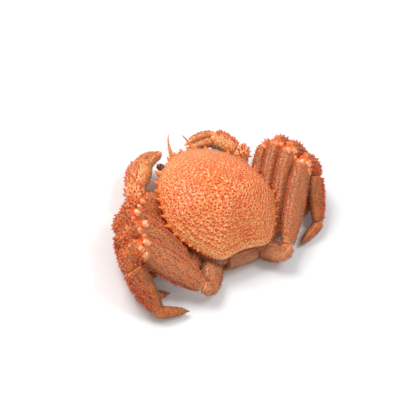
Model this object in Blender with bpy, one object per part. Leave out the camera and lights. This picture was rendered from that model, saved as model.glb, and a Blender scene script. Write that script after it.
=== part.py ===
"""A boiled horsehair crab with its legs folded, life size, as separate shell pieces.

Metres, +Z up. The head points to -Y and the crab's left side to +X. The origin is on the
floor, under the middle of the body.
"""

import math
import random

import bmesh
import bpy
from mathutils import Matrix, Vector

MM = 0.001
GAP = 0.3 * MM
UP = Vector((0, 0, 1))

# Half outline of the carapace from the front middle to the rear middle, as x, y and rim height.
OUTLINE = [(0, -52, 29), (9, -51, 29.5), (18, -48, 30), (30, -40.5, 30), (40, -30, 30), (46.5, -15, 29.5),
           (50, 0, 28.5), (51, 11, 27.5), (47, 22, 26), (40, 33, 24.5), (32, 43, 23), (22, 49.5, 22.5),
           (10, 48.5, 23), (0, 47.5, 23.5)]
DOME_CENTRE = Vector((0, 2)) * MM
DOME_TOP = 55 * MM
DOME_POWER_FRONT = 0.8
DOME_POWER_SIDE = 0.72
DOME_POWER_REAR = 0.95
SEAM_HEIGHT = 22 * MM
SEAM_SLOPE = -0.035
SEAM_INSET = 0.965

# Teeth of the rim: degrees round from the front, and length, each on both sides.
RIM_TEETH = [(3.5, 3.4), (11, 3), (20, 3.2), (41, 5), (52, 3.8), (61, 3.6), (70, 4), (79, 3.8), (88, 4.2),
             (98, 4.8), (107, 3.4), (115, 2.6), (123, 2.4), (131, 2.2)]
RIM_TOOTH_RADIUS = 2.1 * MM
RIM_TOOTH_LIFT = 0.25
RIM_TOOTH_LEAN = 0.35

# Granules of the back, as coarse low cones on a spiral.
BACK_GRANULES = 78
BACK_GRANULE_RADIUS = 1.3 * MM
BACK_GRANULE_HEIGHT = 1.2 * MM
GRANULE_ROOT = 1.6 * MM

# Swellings and grooves of the back: x, y, spread and rise, each mirrored to the other side.
REGIONS = [(0, -18, 13, 1.6), (0, 17, 9, 1.2), (26, 8, 15, 1.3), (22, -30, 9, 0.9), (11, 2, 5, -1.3),
           (0, 4, 5, -0.8), (17, -12, 5, -0.9), (0, -42, 6, -1.0)]

# Rings of the body below the seam: height and share of the carapace outline.
BODY_RINGS = [(21.5, 0.93), (16, 0.77), (8, 0.6), (2, 0.5), (0, 0.46)]
BODY_FRONT = -43 * MM
BODY_REAR_FILL = 0.27

# Joints of each folded leg: base of merus, end of merus, end of propodus, and tip.
LEGS = {
    "left_leg4": [(46, 60, 14), (85, 27, 35.5), (89, 64, 9), (62, 73, 4)],
    "left_leg3": [(48, 38, 15), (77, 11, 34), (94, 45, 8), (68, 53, 4)],
    "left_leg2": [(48, 18, 13), (75, -3, 30.5), (92, 27, 7.5), (66, 34, 4)],
    "left_leg1": [(45, -2, 12), (62, -15, 25), (78, 8, 7), (54, 16, 4)],
    "right_leg4": [(-43, 53, 16), (-85, 1, 35), (-89, 39, 9), (-62, 52, 4)],
    "right_leg3": [(-48, 32, 14), (-83, -16, 32), (-94, 17, 8), (-66, 30, 4)],
    "right_leg2": [(-48, 13, 13), (-79, -28, 28), (-93, -2, 7), (-64, 12, 4)],
    "right_leg1": [(-46, 0, 12), (-73, -33, 21), (-86, -14, 7), (-60, -3, 4)],
}
COXA_ROOTS = {"leg4": (20, 38, 10), "leg3": (24, 22, 9), "leg2": (26, 8, 9), "leg1": (24, -5, 9)}
LEG_SIZE = {"leg4": 1.0, "leg3": 1.0, "leg2": 0.95, "leg1": 0.86}

# Half width in the folding plane and half thickness across it, at stations along each piece.
COXA_SECTIONS = [(6.2, 4.3), (6.6, 4.8), (7, 5.5), (6.5, 5.5)]
REAR_COXA_SECTIONS = [(6.2, 4.3), (8.2, 5.2), (9.6, 6.2), (9.6, 6.4)]
MERUS_SECTIONS = [(6.4, 4.3), (9.2, 5), (10.8, 5.3), (10.8, 5.3), (9.4, 5.2)]
CARPUS_SECTIONS = [(9.4, 5.2), (9.2, 5.5), (9.4, 5.5), (8.8, 5.3), (8.2, 5)]
PROPODUS_SECTIONS = [(8.2, 5), (9, 5.1), (8.6, 4.9), (7.2, 4.3), (5.4, 3.8)]
DACTYL_SECTIONS = [(5.2, 3.7), (4.6, 3.5), (4, 3.2), (2.8, 2.4), (0.5, 0.5)]

# Joints of each claw: arm root and end, hinge of the fingers, finger tip, and the way that the
# broad outer face looks.
CLAWS = {
    "left": [(20, -20, 12), (49, -26, 17), (37, -58, 20), (14, -65, 19), (0.5, -0.45, 0.74)],
    "right": [(-20, -20, 12), (-44, -32, 21), (-36, -62, 24), (-10, -63, 19), (-0.25, -0.35, 0.9)],
}

# The wrist end of each long piece is cut aslant by this many degrees, where the fold begins.
FOLD_START = 28
FOLD_CLEARANCE = 0.6 * MM
BEND_RINGS = 4
REACH_RINGS = 3

CHAMFER = 1.2 * MM
END_SHARE = 0.86
ARM_SECTIONS = [(6, 5.5), (7, 6), (7.4, 6.2), (7, 6)]
CLAW_CARPUS_SECTIONS = [(7.2, 6), (8.2, 7), (8.8, 7.4), (8.4, 7), (7.4, 6.4)]
PALM_SECTIONS = [(7.4, 6.4), (9.6, 7.6), (10.6, 7.8), (10.2, 7.2), (9, 6.2)]
FINGER_SECTIONS = [(4.3, 4.8), (4, 4), (3, 3), (0.8, 0.8)]
FINGER_SPREAD = 4.7 * MM
FINGER_ROOT = 4 * MM
TIP_SPREAD = 1.5 * MM

EYE_ROOT = (21, -40, 26.5)
EYE_END = (31, -46.5, 29)
EYE_SECTIONS = [(2.2, 2.2), (2.2, 2.2), (2.1, 2.1), (3, 3), (3.1, 3.1), (2, 2)]
ORBIT_CENTRE = (28, -47.5, 29)
ORBIT_RADII = (7, 5, 4.2)

ANTENNA_PATHS = {"left": [(11, -44, 24), (11.5, -54, 26), (10, -64, 30), (8, -70, 34)],
                 "right": [(-11, -44, 24), (-10.5, -54, 26), (-8, -62, 29), (-4, -66, 33)]}
ANTENNA_SECTIONS = [(2, 2), (1.7, 1.7), (0.8, 0.8), (0.35, 0.35)]

MOUTH_PATH = [(7, -45.5, 20), (7.4, -42.5, 14), (7, -37, 8), (5.5, -31.5, 3.5)]
MOUTH_SECTIONS = [(4.6, 2.4), (5.8, 2.8), (5.6, 2.8), (3.4, 1.8)]

ABDOMEN_PATH = [(0, 47, 18.6), (0, 52, 14.5), (0, 50, 7), (0, 38, 1.8), (0, 18, 1.2), (0, -8, 1.2)]
ABDOMEN_SECTIONS = [(14, 1.7), (16, 1.9), (15.5, 1.9), (13, 1.8), (9.5, 1.7), (3, 1.7)]

# Spines of the limbs. Each row of spines is given by its turns in degrees from the edge of the
# rod, the shares of the length where it starts and ends, and its count.
SPINE_RADIUS = 1.1 * MM
SPINE_LENGTH = 2.3 * MM
SPINE_LENGTH_SPREAD = (0.75, 1.1)
SPINE_ROOT = 1.6 * MM
SPINE_LEAN = 0.45
SPINE_JITTER = 0.3
SPINE_STAGGER = 0.5
SPINE_SIDES = 4
MERUS_SPINES = ((0, 180), 0.18, 0.72, 5)
CARPUS_SPINES = ((-14, 14), 0.2, 0.85, 3)
PROPODUS_SPINES = (0.15, 0.8, 5)
CLAW_CARPUS_SPINES = ((-20, 25), 0.2, 0.6, 3)
PALM_SPINE_TURNS = (0, 35, -35)
PALM_SPINES = (0.2, 0.78, 4)

LEG_SIDES = 10
BODY_SIDES = 56

SHELL = (0.80, 0.22, 0.07)
LIMB = (0.62, 0.20, 0.08)
CLAW = (0.78, 0.34, 0.18)
PALE = (0.85, 0.62, 0.42)
DARK = (0.03, 0.02, 0.02)


def clear_scene():
    """Remove whatever the scene holds."""
    for existing in list(bpy.data.objects):
        bpy.data.objects.remove(existing, do_unlink=True)


def new_collection(name):
    """Return a new collection linked to the scene."""
    collection = bpy.data.collections.new(name)
    bpy.context.scene.collection.children.link(collection)
    return collection


def shell_material(name, colour, roughness):
    """Return a plain Principled material for one piece."""
    material = bpy.data.materials.new(name)
    material.use_nodes = True
    shader = material.node_tree.nodes["Principled BSDF"]
    shader.inputs["Base Color"].default_value = (*colour, 1)
    shader.inputs["Roughness"].default_value = roughness
    shader.inputs["Metallic"].default_value = 0
    return material


def face_out(mesh_data):
    """Turn every face of a closed form outward."""
    mesh_data.normal_update()
    bmesh.ops.recalc_face_normals(mesh_data, faces=mesh_data.faces)
    if mesh_data.calc_volume(signed=True) < 0:
        bmesh.ops.reverse_faces(mesh_data, faces=mesh_data.faces)


def add_piece(name, mesh_data, colour, roughness=0.45):
    """Finish a bmesh as one named object of the crab."""
    bmesh.ops.triangulate(mesh_data, faces=mesh_data.faces)
    face_out(mesh_data)
    mesh = bpy.data.meshes.new(name)
    mesh_data.to_mesh(mesh)
    mesh_data.free()
    piece = bpy.data.objects.new(name, mesh)
    mesh.materials.append(shell_material(name, colour, roughness))
    crab.objects.link(piece)
    return piece


def add_cutter(name, mesh_data):
    """Keep a bmesh as a hidden cutter."""
    face_out(mesh_data)
    mesh = bpy.data.meshes.new(name)
    mesh_data.to_mesh(mesh)
    mesh_data.free()
    cutter = bpy.data.objects.new(name, mesh)
    cutter.hide_render = True
    cutter.display_type = "WIRE"
    cutters.objects.link(cutter)
    return cutter


def smooth_point(points, t):
    """Return the point at t, from 0 to 1, on a smooth curve through the points."""
    spans = len(points) - 1
    at = min(t * spans, spans - 1e-9)
    i = int(at)
    f = at - i
    p1, p2 = points[i], points[i + 1]
    p0 = points[i - 1] if i > 0 else p1 * 2 - p2
    p3 = points[i + 2] if i + 2 <= spans else p2 * 2 - p1
    return 0.5 * (2 * p1 + (p2 - p0) * f + (2 * p0 - 5 * p1 + 4 * p2 - p3) * f * f
                  + (3 * p1 - p0 - 3 * p2 + p3) * f ** 3)


def section_at(sections, t):
    """Return the half width and half thickness at t along a piece, in metres."""
    vectors = [Vector(section) for section in sections]
    return smooth_point(vectors, t) * MM


def rod(stations, sides=LEG_SIDES):
    """Return a closed rod warped from a cylinder.

    Each station is a centre, a width axis, a thickness axis, a half width and a half
    thickness.
    """
    spans = len(stations) - 1
    mesh_data = bmesh.new()
    bmesh.ops.create_cone(mesh_data, cap_ends=True, segments=sides, radius1=1, radius2=1, depth=spans)
    for cut in range(1, spans):
        level = Vector((0, 0, cut - spans / 2))
        geometry = mesh_data.verts[:] + mesh_data.edges[:] + mesh_data.faces[:]
        bmesh.ops.bisect_plane(mesh_data, geom=geometry, plane_co=level, plane_no=UP)
    for vertex in mesh_data.verts:
        centre, wide, thick, half_width, half_thickness = stations[round(vertex.co.z + spans / 2)]
        vertex.co = centre + wide * (half_width * vertex.co.x) + thick * (half_thickness * vertex.co.y)
    return mesh_data


def straight_stations(start, end, thick, sections, size=1.0, rings=5):
    """Return stations along a straight piece, with chamfered ends."""
    along = (end - start).normalized()
    wide = along.cross(thick).normalized()
    chamfer = CHAMFER / (end - start).length
    steps = [0, chamfer] + [i / (rings - 1) for i in range(1, rings - 1)] + [1 - chamfer, 1]
    stations = []
    for step in steps:
        half_width, half_thickness = section_at(sections, step) * size
        inset = END_SHARE if step in (0, 1) else 1.0
        stations.append((start.lerp(end, step), wide, thick, half_width * inset, half_thickness * inset))
    return stations


def path_stations(points, thick, sections, size=1.0, rings=7, start_way=None, end_way=None):
    """Return stations square to a smooth path, with the thickness axis near to thick."""
    stations = []
    for i in range(rings):
        t = i / (rings - 1)
        ahead = smooth_point(points, min(t + 0.02, 1)) - smooth_point(points, max(t - 0.02, 0))
        if i == 0 and start_way:
            ahead = start_way
        if i == rings - 1 and end_way:
            ahead = end_way
        wide = ahead.cross(thick).normalized()
        across = wide.cross(ahead).normalized()
        half_width, half_thickness = section_at(sections, t) * size
        stations.append((smooth_point(points, t), wide, across, half_width, half_thickness))
    return stations


class Fold:
    """A tight bend, whose rings fan about the inner corner between two long pieces."""

    def __init__(self, start, way, far_end, thick, near_width, far_width):
        inner = far_end - start
        inner -= way * inner.dot(way)
        inner = (inner - thick * inner.dot(thick)).normalized()
        self.thick = thick
        self.pivot = start + inner * near_width
        self.spoke = -inner
        self.axis = self.spoke.cross(way).normalized()
        self.side = 1 if self.spoke.dot(way.cross(thick)) > 0 else -1
        self.radii = (near_width, far_width)
        end = self.pivot + inner * far_width
        for _ in range(8):
            far_way = (far_end - end).normalized()
            outward = far_way.cross(self.axis)
            end = self.pivot + outward * far_width
        self.end = end
        self.far_way = far_way
        self.turn = way.angle(far_way)

    def station(self, angle, share, sections, size, inset=1.0, push=0.0):
        """Return the ring at an angle of the fan, a share of the way along the sections."""
        spoke = Matrix.Rotation(angle, 3, self.axis) @ self.spoke
        way = self.axis.cross(spoke)
        reach = self.radii[0] + (self.radii[1] - self.radii[0]) * angle / self.turn
        half_width, half_thickness = section_at(sections, share) * size
        reach = max(reach, half_width + FOLD_CLEARANCE)
        centre = self.pivot + spoke * reach + way * push
        return (centre, spoke, self.thick, half_width * inset, half_thickness * inset)

    def stations(self, first_angle, sections, size=1.0, rings=6):
        """Return the rings of the bend from an angle of the fan to its end."""
        made = []
        last = rings - 1
        for i in range(rings):
            angle = first_angle + (self.turn - first_angle) * i / last
            push = GAP if i == 0 else -GAP if i == last else 0
            inset = END_SHARE if i in (0, last) else 1.0
            made.append(self.station(angle, i / last, sections, size, inset, push))
        return made


def hooked_stations(start, way, tip, thick, sections, size=1.0):
    """Return stations of a piece that bends at its start and runs on straight to its tip."""
    own_thick = way.cross(tip - start).normalized()
    if own_thick.dot(thick) < 0:
        own_thick.negate()
    near_width = sections[0][0] * size * MM + FOLD_CLEARANCE
    fold = Fold(start, way, tip, own_thick, near_width, near_width)
    bend = near_width * fold.turn
    bend_share = bend / (bend + (tip - fold.end).length)
    made = []
    for i in range(BEND_RINGS):
        f = i / (BEND_RINGS - 1)
        inset = END_SHARE if i == 0 else 1.0
        made.append(fold.station(fold.turn * f, bend_share * f, sections, size, inset, 0 if i else GAP))
    centre, wide, across = made[-1][:3]
    for i in range(1, REACH_RINGS + 1):
        f = i / REACH_RINGS
        half_width, half_thickness = section_at(sections, bend_share + (1 - bend_share) * f) * size
        made.append((centre.lerp(tip, f), wide, across, half_width, half_thickness))
    return made


def cone_at(point, way, length, radius, root, sides=SPINE_SIDES):
    """Return a cone that stands on a point and is rooted below it, as a closed mesh object."""
    way = way.normalized()
    full = length + root
    mesh_data = bmesh.new()
    bmesh.ops.create_cone(mesh_data, cap_ends=True, segments=sides, radius1=radius * full / length,
                          radius2=0, depth=full)
    bmesh.ops.remove_doubles(mesh_data, verts=mesh_data.verts, dist=0.01 * MM)
    turn = way.to_track_quat("Z", "Y").to_matrix().to_4x4()
    place = Matrix.Translation(point + way * (full / 2 - root)) @ turn
    bmesh.ops.transform(mesh_data, matrix=place, verts=mesh_data.verts)
    return mesh_data


def fuse(piece, forms):
    """Join closed forms to a piece by one union, and keep its largest closed surface."""
    group = new_collection("forms")
    for index, form in enumerate(forms):
        added = add_cutter(f"form_{index}", form)
        cutters.objects.unlink(added)
        group.objects.link(added)
    modifier = piece.modifiers.new("fuse", "BOOLEAN")
    modifier.operation = "UNION"
    modifier.operand_type = "COLLECTION"
    modifier.collection = group
    modifier.solver = "EXACT"
    apply_modifiers(piece)
    for added in list(group.objects):
        bpy.data.objects.remove(added, do_unlink=True)
    bpy.data.collections.remove(group)
    keep_largest(piece)


def spines_on(stations, row_turns, first, last, count, size=1.0):
    """Return spines in rows along a rod, each row turned by some degrees from the width axis."""
    spines = []
    spans = len(stations) - 1
    for row, degrees in enumerate(row_turns):
        for i in range(count):
            step = i + SPINE_STAGGER * (row % 2) + draw.uniform(0, SPINE_JITTER)
            t = first + (last - first) * step / count
            at = min(t, 1) * spans
            k = min(int(at), spans - 1)
            f = at - k
            angle = math.radians(degrees)
            near, far = (surface_point(stations[j], angle) for j in (k, k + 1))
            wide, thick = stations[k][1], stations[k][2]
            out = wide * math.cos(angle) + thick * math.sin(angle) * 0.5
            ahead = (stations[k + 1][0] - stations[k][0]).normalized()
            length = SPINE_LENGTH * size * draw.uniform(*SPINE_LENGTH_SPREAD)
            way = out + ahead * SPINE_LEAN
            spines.append(cone_at(near.lerp(far, f), way, length, SPINE_RADIUS, SPINE_ROOT))
    return spines


def surface_point(station, angle):
    """Return a point on the skin of a rod at a station."""
    centre, wide, thick, half_width, half_thickness = station
    return centre + wide * (half_width * math.cos(angle)) + thick * (half_thickness * math.sin(angle))


def outline_at(angle):
    """Return the rim point of the carapace at an angle from the front, round by the left."""
    left = [Vector(point) * MM for point in OUTLINE]
    right = [Vector((-p.x, p.y, p.z)) for p in reversed(left[1:-1])]
    ring = left + right
    centre = DOME_CENTRE.to_3d()
    angles = [math.atan2(p.x, -(p.y - centre.y)) % math.tau for p in ring]
    angle %= math.tau
    count = len(ring)
    for i in range(count):
        low = angles[i]
        high = angles[i + 1] if i + 1 < count else math.tau
        if low <= angle <= high:
            f = (angle - low) / (high - low)
            p0, p1, p2, p3 = (ring[(i + k) % count] for k in (-1, 0, 1, 2))
            return 0.5 * (2 * p1 + (p2 - p0) * f + (2 * p0 - 5 * p1 + 4 * p2 - p3) * f * f
                          + (3 * p1 - p0 - 3 * p2 + p3) * f ** 3)
    return ring[0]


def relief(x, y):
    """Return how far the back swells or sinks at a place."""
    rise = 0
    for rx, ry, spread, height in REGIONS:
        for side in ((-1, 1) if rx else (1,)):
            away = ((x / MM - side * rx) ** 2 + (y / MM - ry) ** 2) / spread ** 2
            rise += height * math.exp(-away)
    return rise * MM


def dome_point(angle, share):
    """Return the point of the back at an angle, a share of the way from the middle to the rim."""
    rim = outline_at(angle)
    centre = DOME_CENTRE.to_3d()
    flat = centre.lerp(Vector((rim.x, rim.y, 0)), share)
    facing = math.cos(angle)
    end_power = DOME_POWER_FRONT if facing > 0 else DOME_POWER_REAR
    power = DOME_POWER_SIDE + (end_power - DOME_POWER_SIDE) * facing ** 2
    rise = max(1 - share ** 2, 0) ** power
    height = rim.z + (DOME_TOP - rim.z) * rise + relief(flat.x, flat.y) * min(1, 2.5 * (1 - share))
    return Vector((flat.x, flat.y, height))


def seam_height(y):
    """Return the height of the seam between the carapace and the body below it."""
    return SEAM_HEIGHT + SEAM_SLOPE * y


def carapace_form(sides=BODY_SIDES, rings=22):
    """Return the closed carapace, warped from a sphere: dome above, flat seam below."""
    mesh_data = bmesh.new()
    bmesh.ops.create_uvsphere(mesh_data, u_segments=sides, v_segments=rings, radius=1)
    half = rings // 2
    for vertex in mesh_data.verts:
        angle = math.atan2(vertex.co.x, -vertex.co.y)
        ring = round(math.acos(max(-1, min(1, vertex.co.z))) / math.pi * rings)
        if ring <= half:
            vertex.co = dome_point(angle, math.sin(ring / half * math.pi / 2))
            continue
        rim = outline_at(angle)
        share = SEAM_INSET * (rings - ring) / (rings - half - 1)
        flat = DOME_CENTRE.to_3d().lerp(Vector((rim.x, rim.y, 0)), share)
        vertex.co = Vector((flat.x, flat.y, seam_height(flat.y)))
    return mesh_data


def body_form():
    """Return the body below the seam, warped from a cylinder and tapering to a flat belly."""
    stations = len(BODY_RINGS)
    mesh_data = bmesh.new()
    bmesh.ops.create_cone(mesh_data, cap_ends=True, segments=BODY_SIDES, radius1=1, radius2=1,
                          depth=stations - 1)
    for cut in range(1, stations - 1):
        level = Vector((0, 0, cut - (stations - 1) / 2))
        geometry = mesh_data.verts[:] + mesh_data.edges[:] + mesh_data.faces[:]
        bmesh.ops.bisect_plane(mesh_data, geom=geometry, plane_co=level, plane_no=UP)
    for vertex in mesh_data.verts:
        angle = math.atan2(vertex.co.x, -vertex.co.y)
        ring = stations - 1 - round(vertex.co.z + (stations - 1) / 2)
        height, share = BODY_RINGS[ring]
        rim = outline_at(angle)
        if ring:
            share += BODY_REAR_FILL * max(0, -math.cos(angle))
        flat = DOME_CENTRE.to_3d().lerp(Vector((rim.x, rim.y, 0)), share)
        flat.y = max(flat.y, BODY_FRONT)
        level = seam_height(flat.y) - GAP if ring == 0 else height * MM
        vertex.co = Vector((flat.x, flat.y, level))
    return mesh_data


def grown_copy(piece):
    """Return a hidden cutter that stands the gap proud of a piece all round."""
    mesh_data = bmesh.new()
    mesh_data.from_mesh(piece.data)
    mesh_data.normal_update()
    moves = [(vertex, vertex.normal * GAP * min(vertex.calc_shell_factor(), 2)) for vertex in mesh_data.verts]
    for vertex, move in moves:
        vertex.co += move
    return add_cutter(piece.name + "_clearance", mesh_data)


def combine(piece, other, operation):
    """Cut a piece by another object, or fuse them, and keep the largest closed surface."""
    modifier = piece.modifiers.new("combine", "BOOLEAN")
    modifier.operation = operation
    modifier.object = other
    apply_modifiers(piece)
    keep_largest(piece)
    bpy.data.objects.remove(other, do_unlink=True)


def clear_of(piece, *others):
    """Cut a piece back to the gap wherever it would touch the others."""
    for other in others:
        combine(piece, grown_copy(other), "DIFFERENCE")


def apply_modifiers(piece):
    """Replace a piece's mesh by its evaluated one."""
    bpy.context.view_layer.update()
    evaluated = piece.evaluated_get(bpy.context.evaluated_depsgraph_get())
    mesh = bpy.data.meshes.new_from_object(evaluated)
    piece.modifiers.clear()
    piece.data = mesh


def keep_largest(piece):
    """Keep only the largest closed surface of a piece."""
    mesh_data = bmesh.new()
    mesh_data.from_mesh(piece.data)
    left = set(mesh_data.verts)
    islands = []
    while left:
        stack = [left.pop()]
        island = set(stack)
        while stack:
            for edge in stack.pop().link_edges:
                for vertex in edge.verts:
                    if vertex in left:
                        left.remove(vertex)
                        island.add(vertex)
                        stack.append(vertex)
        islands.append(island)
    best = max(islands, key=lambda island: sum(
        face.calc_area() for face in mesh_data.faces if face.verts[0] in island))
    scraps = [vertex for vertex in mesh_data.verts if vertex not in best]
    bmesh.ops.delete(mesh_data, geom=scraps, context="VERTS")
    mesh_data.to_mesh(piece.data)
    mesh_data.free()


def trim_below_floor(mesh_data):
    """Cut a form off flat at the floor."""
    if min(vertex.co.z for vertex in mesh_data.verts) >= 0:
        return
    geometry = mesh_data.verts[:] + mesh_data.edges[:] + mesh_data.faces[:]
    cut = bmesh.ops.bisect_plane(mesh_data, geom=geometry, plane_co=(0, 0, 0), plane_no=-UP, clear_outer=True)
    rim = [element for element in cut["geom_cut"] if isinstance(element, bmesh.types.BMEdge)]
    bmesh.ops.holes_fill(mesh_data, edges=rim, sides=0)


def long_piece(start, end, fold, sections, size):
    """Return a rod from start to a slanted end where a fold begins."""
    stations = straight_stations(start, end, fold.thick, sections, size, 6)[:-2]
    slant = math.radians(FOLD_START)
    ring = fold.station(slant * 0.8, 1, sections, size)
    stations.append((ring[0], ring[1] * fold.side, *ring[2:]))
    ring = fold.station(slant, 1, sections, size, END_SHARE)
    stations.append((ring[0], ring[1] * fold.side, *ring[2:]))
    return stations


def outer_turn(stations, fold):
    """Return the degrees of the row along the edge of a rod that faces out of a fold."""
    return 0 if stations[0][1].dot(fold.end - fold.pivot) > 0 else 180


def build_leg(name):
    """Build the five pieces of one folded leg."""
    base, merus_end, ankle, tip = (Vector(point) * MM for point in LEGS[name])
    side, row = name.split("_")
    size = LEG_SIZE[row]
    thick = (merus_end - base).cross(ankle - merus_end).normalized()
    if thick.z < 0:
        thick.negate()
    merus_way = (merus_end - base).normalized()
    near_width = MERUS_SECTIONS[-1][0] * size * MM + FOLD_CLEARANCE
    far_width = PROPODUS_SECTIONS[0][0] * size * MM + FOLD_CLEARANCE
    fold = Fold(merus_end, merus_way, ankle, thick, near_width, far_width)

    root = Vector(COXA_ROOTS[row]) * MM
    if side == "right":
        root.x = -root.x
    coxa_sections = REAR_COXA_SECTIONS if row == "leg4" else COXA_SECTIONS
    mesh_data = rod(hooked_stations(base, -merus_way, root, thick, coxa_sections, size))
    coxa = add_piece(name + "_coxa", mesh_data, LIMB)

    stations = long_piece(base, merus_end, fold, MERUS_SECTIONS, size)
    merus = add_piece(name + "_merus", rod(stations), LIMB)
    fuse(merus, spines_on(stations, *MERUS_SPINES, size))

    stations = fold.stations(math.radians(FOLD_START), CARPUS_SECTIONS, size)
    carpus = add_piece(name + "_carpus", rod(stations), LIMB)
    fuse(carpus, spines_on(stations, *CARPUS_SPINES, size))

    stations = straight_stations(fold.end, ankle, thick, PROPODUS_SECTIONS, size)
    mesh_data = rod(stations)
    trim_below_floor(mesh_data)
    propodus = add_piece(name + "_propodus", mesh_data, LIMB)
    fuse(propodus, spines_on(stations, (outer_turn(stations, fold),), *PROPODUS_SPINES, size))

    mesh_data = rod(hooked_stations(ankle, fold.far_way, tip, thick, DACTYL_SECTIONS, size))
    trim_below_floor(mesh_data)
    add_piece(name + "_dactyl", mesh_data, LIMB)
    return coxa, merus


def build_claw(side):
    """Build the arm, wrist, palm and movable finger of one claw."""
    root, arm_end, hinge, tip = (Vector(point) * MM for point in CLAWS[side][:4])
    face = Vector(CLAWS[side][4])
    arm_way = (arm_end - root).normalized()
    name = side + "_claw_"
    thick = arm_way.cross(hinge - arm_end).normalized()
    if thick.z < 0:
        thick.negate()
    near_width = ARM_SECTIONS[-1][0] * MM + FOLD_CLEARANCE
    far_width = PALM_SECTIONS[0][0] * MM + FOLD_CLEARANCE
    fold = Fold(arm_end, arm_way, hinge, thick, near_width, far_width)

    arm = add_piece(name + "arm", rod(long_piece(root, arm_end, fold, ARM_SECTIONS, 1.0)), CLAW)
    stations = fold.stations(math.radians(FOLD_START), CLAW_CARPUS_SECTIONS)
    carpus = add_piece(name + "carpus", rod(stations), CLAW)
    fuse(carpus, spines_on(stations, *CLAW_CARPUS_SPINES))

    palm_way = fold.far_way
    face = (face - palm_way * face.dot(palm_way)).normalized()
    palm_stations = straight_stations(fold.end, hinge, face, PALM_SECTIONS)
    palm = add_piece(name + "palm", rod(palm_stations), CLAW)

    spread = (tip - hinge).cross(face).normalized()
    if spread.z < 0:
        spread.negate()
    root = hinge - palm_way * FINGER_ROOT
    fingers = []
    for way in (spread, -spread):
        path = [root + way * FINGER_SPREAD, hinge.lerp(tip, 0.3) + way * FINGER_SPREAD,
                hinge.lerp(tip, 0.7) + way * FINGER_SPREAD * 0.8, tip + way * TIP_SPREAD]
        fingers.append(rod(path_stations(path, face, FINGER_SECTIONS, rings=8), 8))
    outer = outer_turn(palm_stations, fold)
    rows = [outer + degrees for degrees in PALM_SPINE_TURNS]
    fuse(palm, [fingers[1]] + spines_on(palm_stations, rows, *PALM_SPINES))
    finger = add_piece(name + "finger", fingers[0], CLAW)
    clear_of(finger, palm)
    return arm, carpus


def arm_rim():
    """Fuse the teeth of the rim and the coarse granules of the back to the carapace."""
    forms = []
    for degrees, length in RIM_TEETH:
        for side in (-1, 1):
            angle = side * math.radians(degrees)
            rim = outline_at(angle)
            across = math.sin(angle)
            out = Vector((across, -math.cos(angle) - RIM_TOOTH_LEAN * abs(across), RIM_TOOTH_LIFT))
            radius = RIM_TOOTH_RADIUS * (0.6 + 0.1 * length)
            forms.append(cone_at(rim, out, length * MM, radius, GRANULE_ROOT))
    turn = math.pi * (3 - math.sqrt(5))
    for i in range(BACK_GRANULES):
        share = 0.93 * math.sqrt((i + 0.4) / BACK_GRANULES)
        angle = (i * turn) % math.tau
        point = dome_point(angle, share)
        near = dome_point(angle + 0.05, share) - point
        along = dome_point(angle, share + 0.02) - point
        out = along.cross(near)
        if out.z < 0:
            out.negate()
        height = BACK_GRANULE_HEIGHT * draw.uniform(0.8, 1)
        forms.append(cone_at(point, out, height, BACK_GRANULE_RADIUS, GRANULE_ROOT * 0.6))
    fuse(carapace, forms)


def build_face():
    """Build the orbits, eyes, feelers and outer mouthparts."""
    for side, sign in (("left", 1), ("right", -1)):
        orbit = bmesh.new()
        bmesh.ops.create_uvsphere(orbit, u_segments=14, v_segments=8, radius=1)
        centre = Vector(ORBIT_CENTRE) * MM
        centre.x *= sign
        place = Matrix.Translation(centre) @ Matrix.Diagonal((*(Vector(ORBIT_RADII) * MM), 1))
        bmesh.ops.transform(orbit, matrix=place, verts=orbit.verts)
        combine(carapace, add_cutter("orbit", orbit), "DIFFERENCE")
    for side, sign in (("left", 1), ("right", -1)):
        root, end = (Vector((p[0] * sign, p[1], p[2])) * MM for p in (EYE_ROOT, EYE_END))
        eye_rod = rod(path_stations([root, end], UP, EYE_SECTIONS, rings=9), 8)
        eye = add_piece(side + "_eye", eye_rod, DARK, 0.15)
        path = [Vector(point) * MM for point in ANTENNA_PATHS[side]]
        antenna_rod = rod(path_stations(path, UP, ANTENNA_SECTIONS, rings=9), 6)
        antenna = add_piece(side + "_antenna", antenna_rod, SHELL)
        path = [Vector((p[0] * sign, p[1], p[2])) * MM for p in MOUTH_PATH]
        mouth = rod(path_stations(path, Vector((0, -1, 0.3)), MOUTH_SECTIONS, rings=7), 8)
        mouthpart = add_piece(side + "_mouthpart", mouth, CLAW)
        clear_of(eye, carapace, thorax)
        clear_of(antenna, carapace, thorax)
        clear_of(mouthpart, carapace, thorax)


clear_scene()
draw = random.Random(7)
crab = new_collection("horsehair_crab")
cutters = new_collection("cutters")

carapace = add_piece("carapace", carapace_form(), SHELL)
thorax = add_piece("thorax", body_form(), PALE)
abdomen_path = [Vector(point) * MM for point in ABDOMEN_PATH]
abdomen_rod = rod(path_stations(abdomen_path, Vector((0, 0.6, 0.8)), ABDOMEN_SECTIONS, rings=12), 8)
trim_below_floor(abdomen_rod)
abdomen = add_piece("abdomen", abdomen_rod, PALE)
clear_of(thorax, abdomen)
build_face()
arm_rim()
claw_pieces = []
for claw_side in CLAWS:
    claw_arm, claw_carpus = build_claw(claw_side)
    clear_of(claw_arm, thorax, carapace)
    claw_pieces += [claw_arm, claw_carpus]
coxae = []
meri = []
for leg_name in LEGS:
    leg_coxa, leg_merus = build_leg(leg_name)
    clear_of(leg_coxa, thorax, *coxae[-1:])
    clear_of(leg_merus, carapace, thorax)
    if leg_name.endswith("leg1"):
        clear_of(leg_merus, *claw_pieces, *meri[-1:])
    coxae.append(leg_coxa)
    meri.append(leg_merus)
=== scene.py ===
# %% [markdown]
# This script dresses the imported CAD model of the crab. The CAD part gives the size, the pose and the
# solid segments, and they stay where they are. All that is seen is built here over those solids in the
# same coordinates, so a finer shell lies on each of them.

import math

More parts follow.
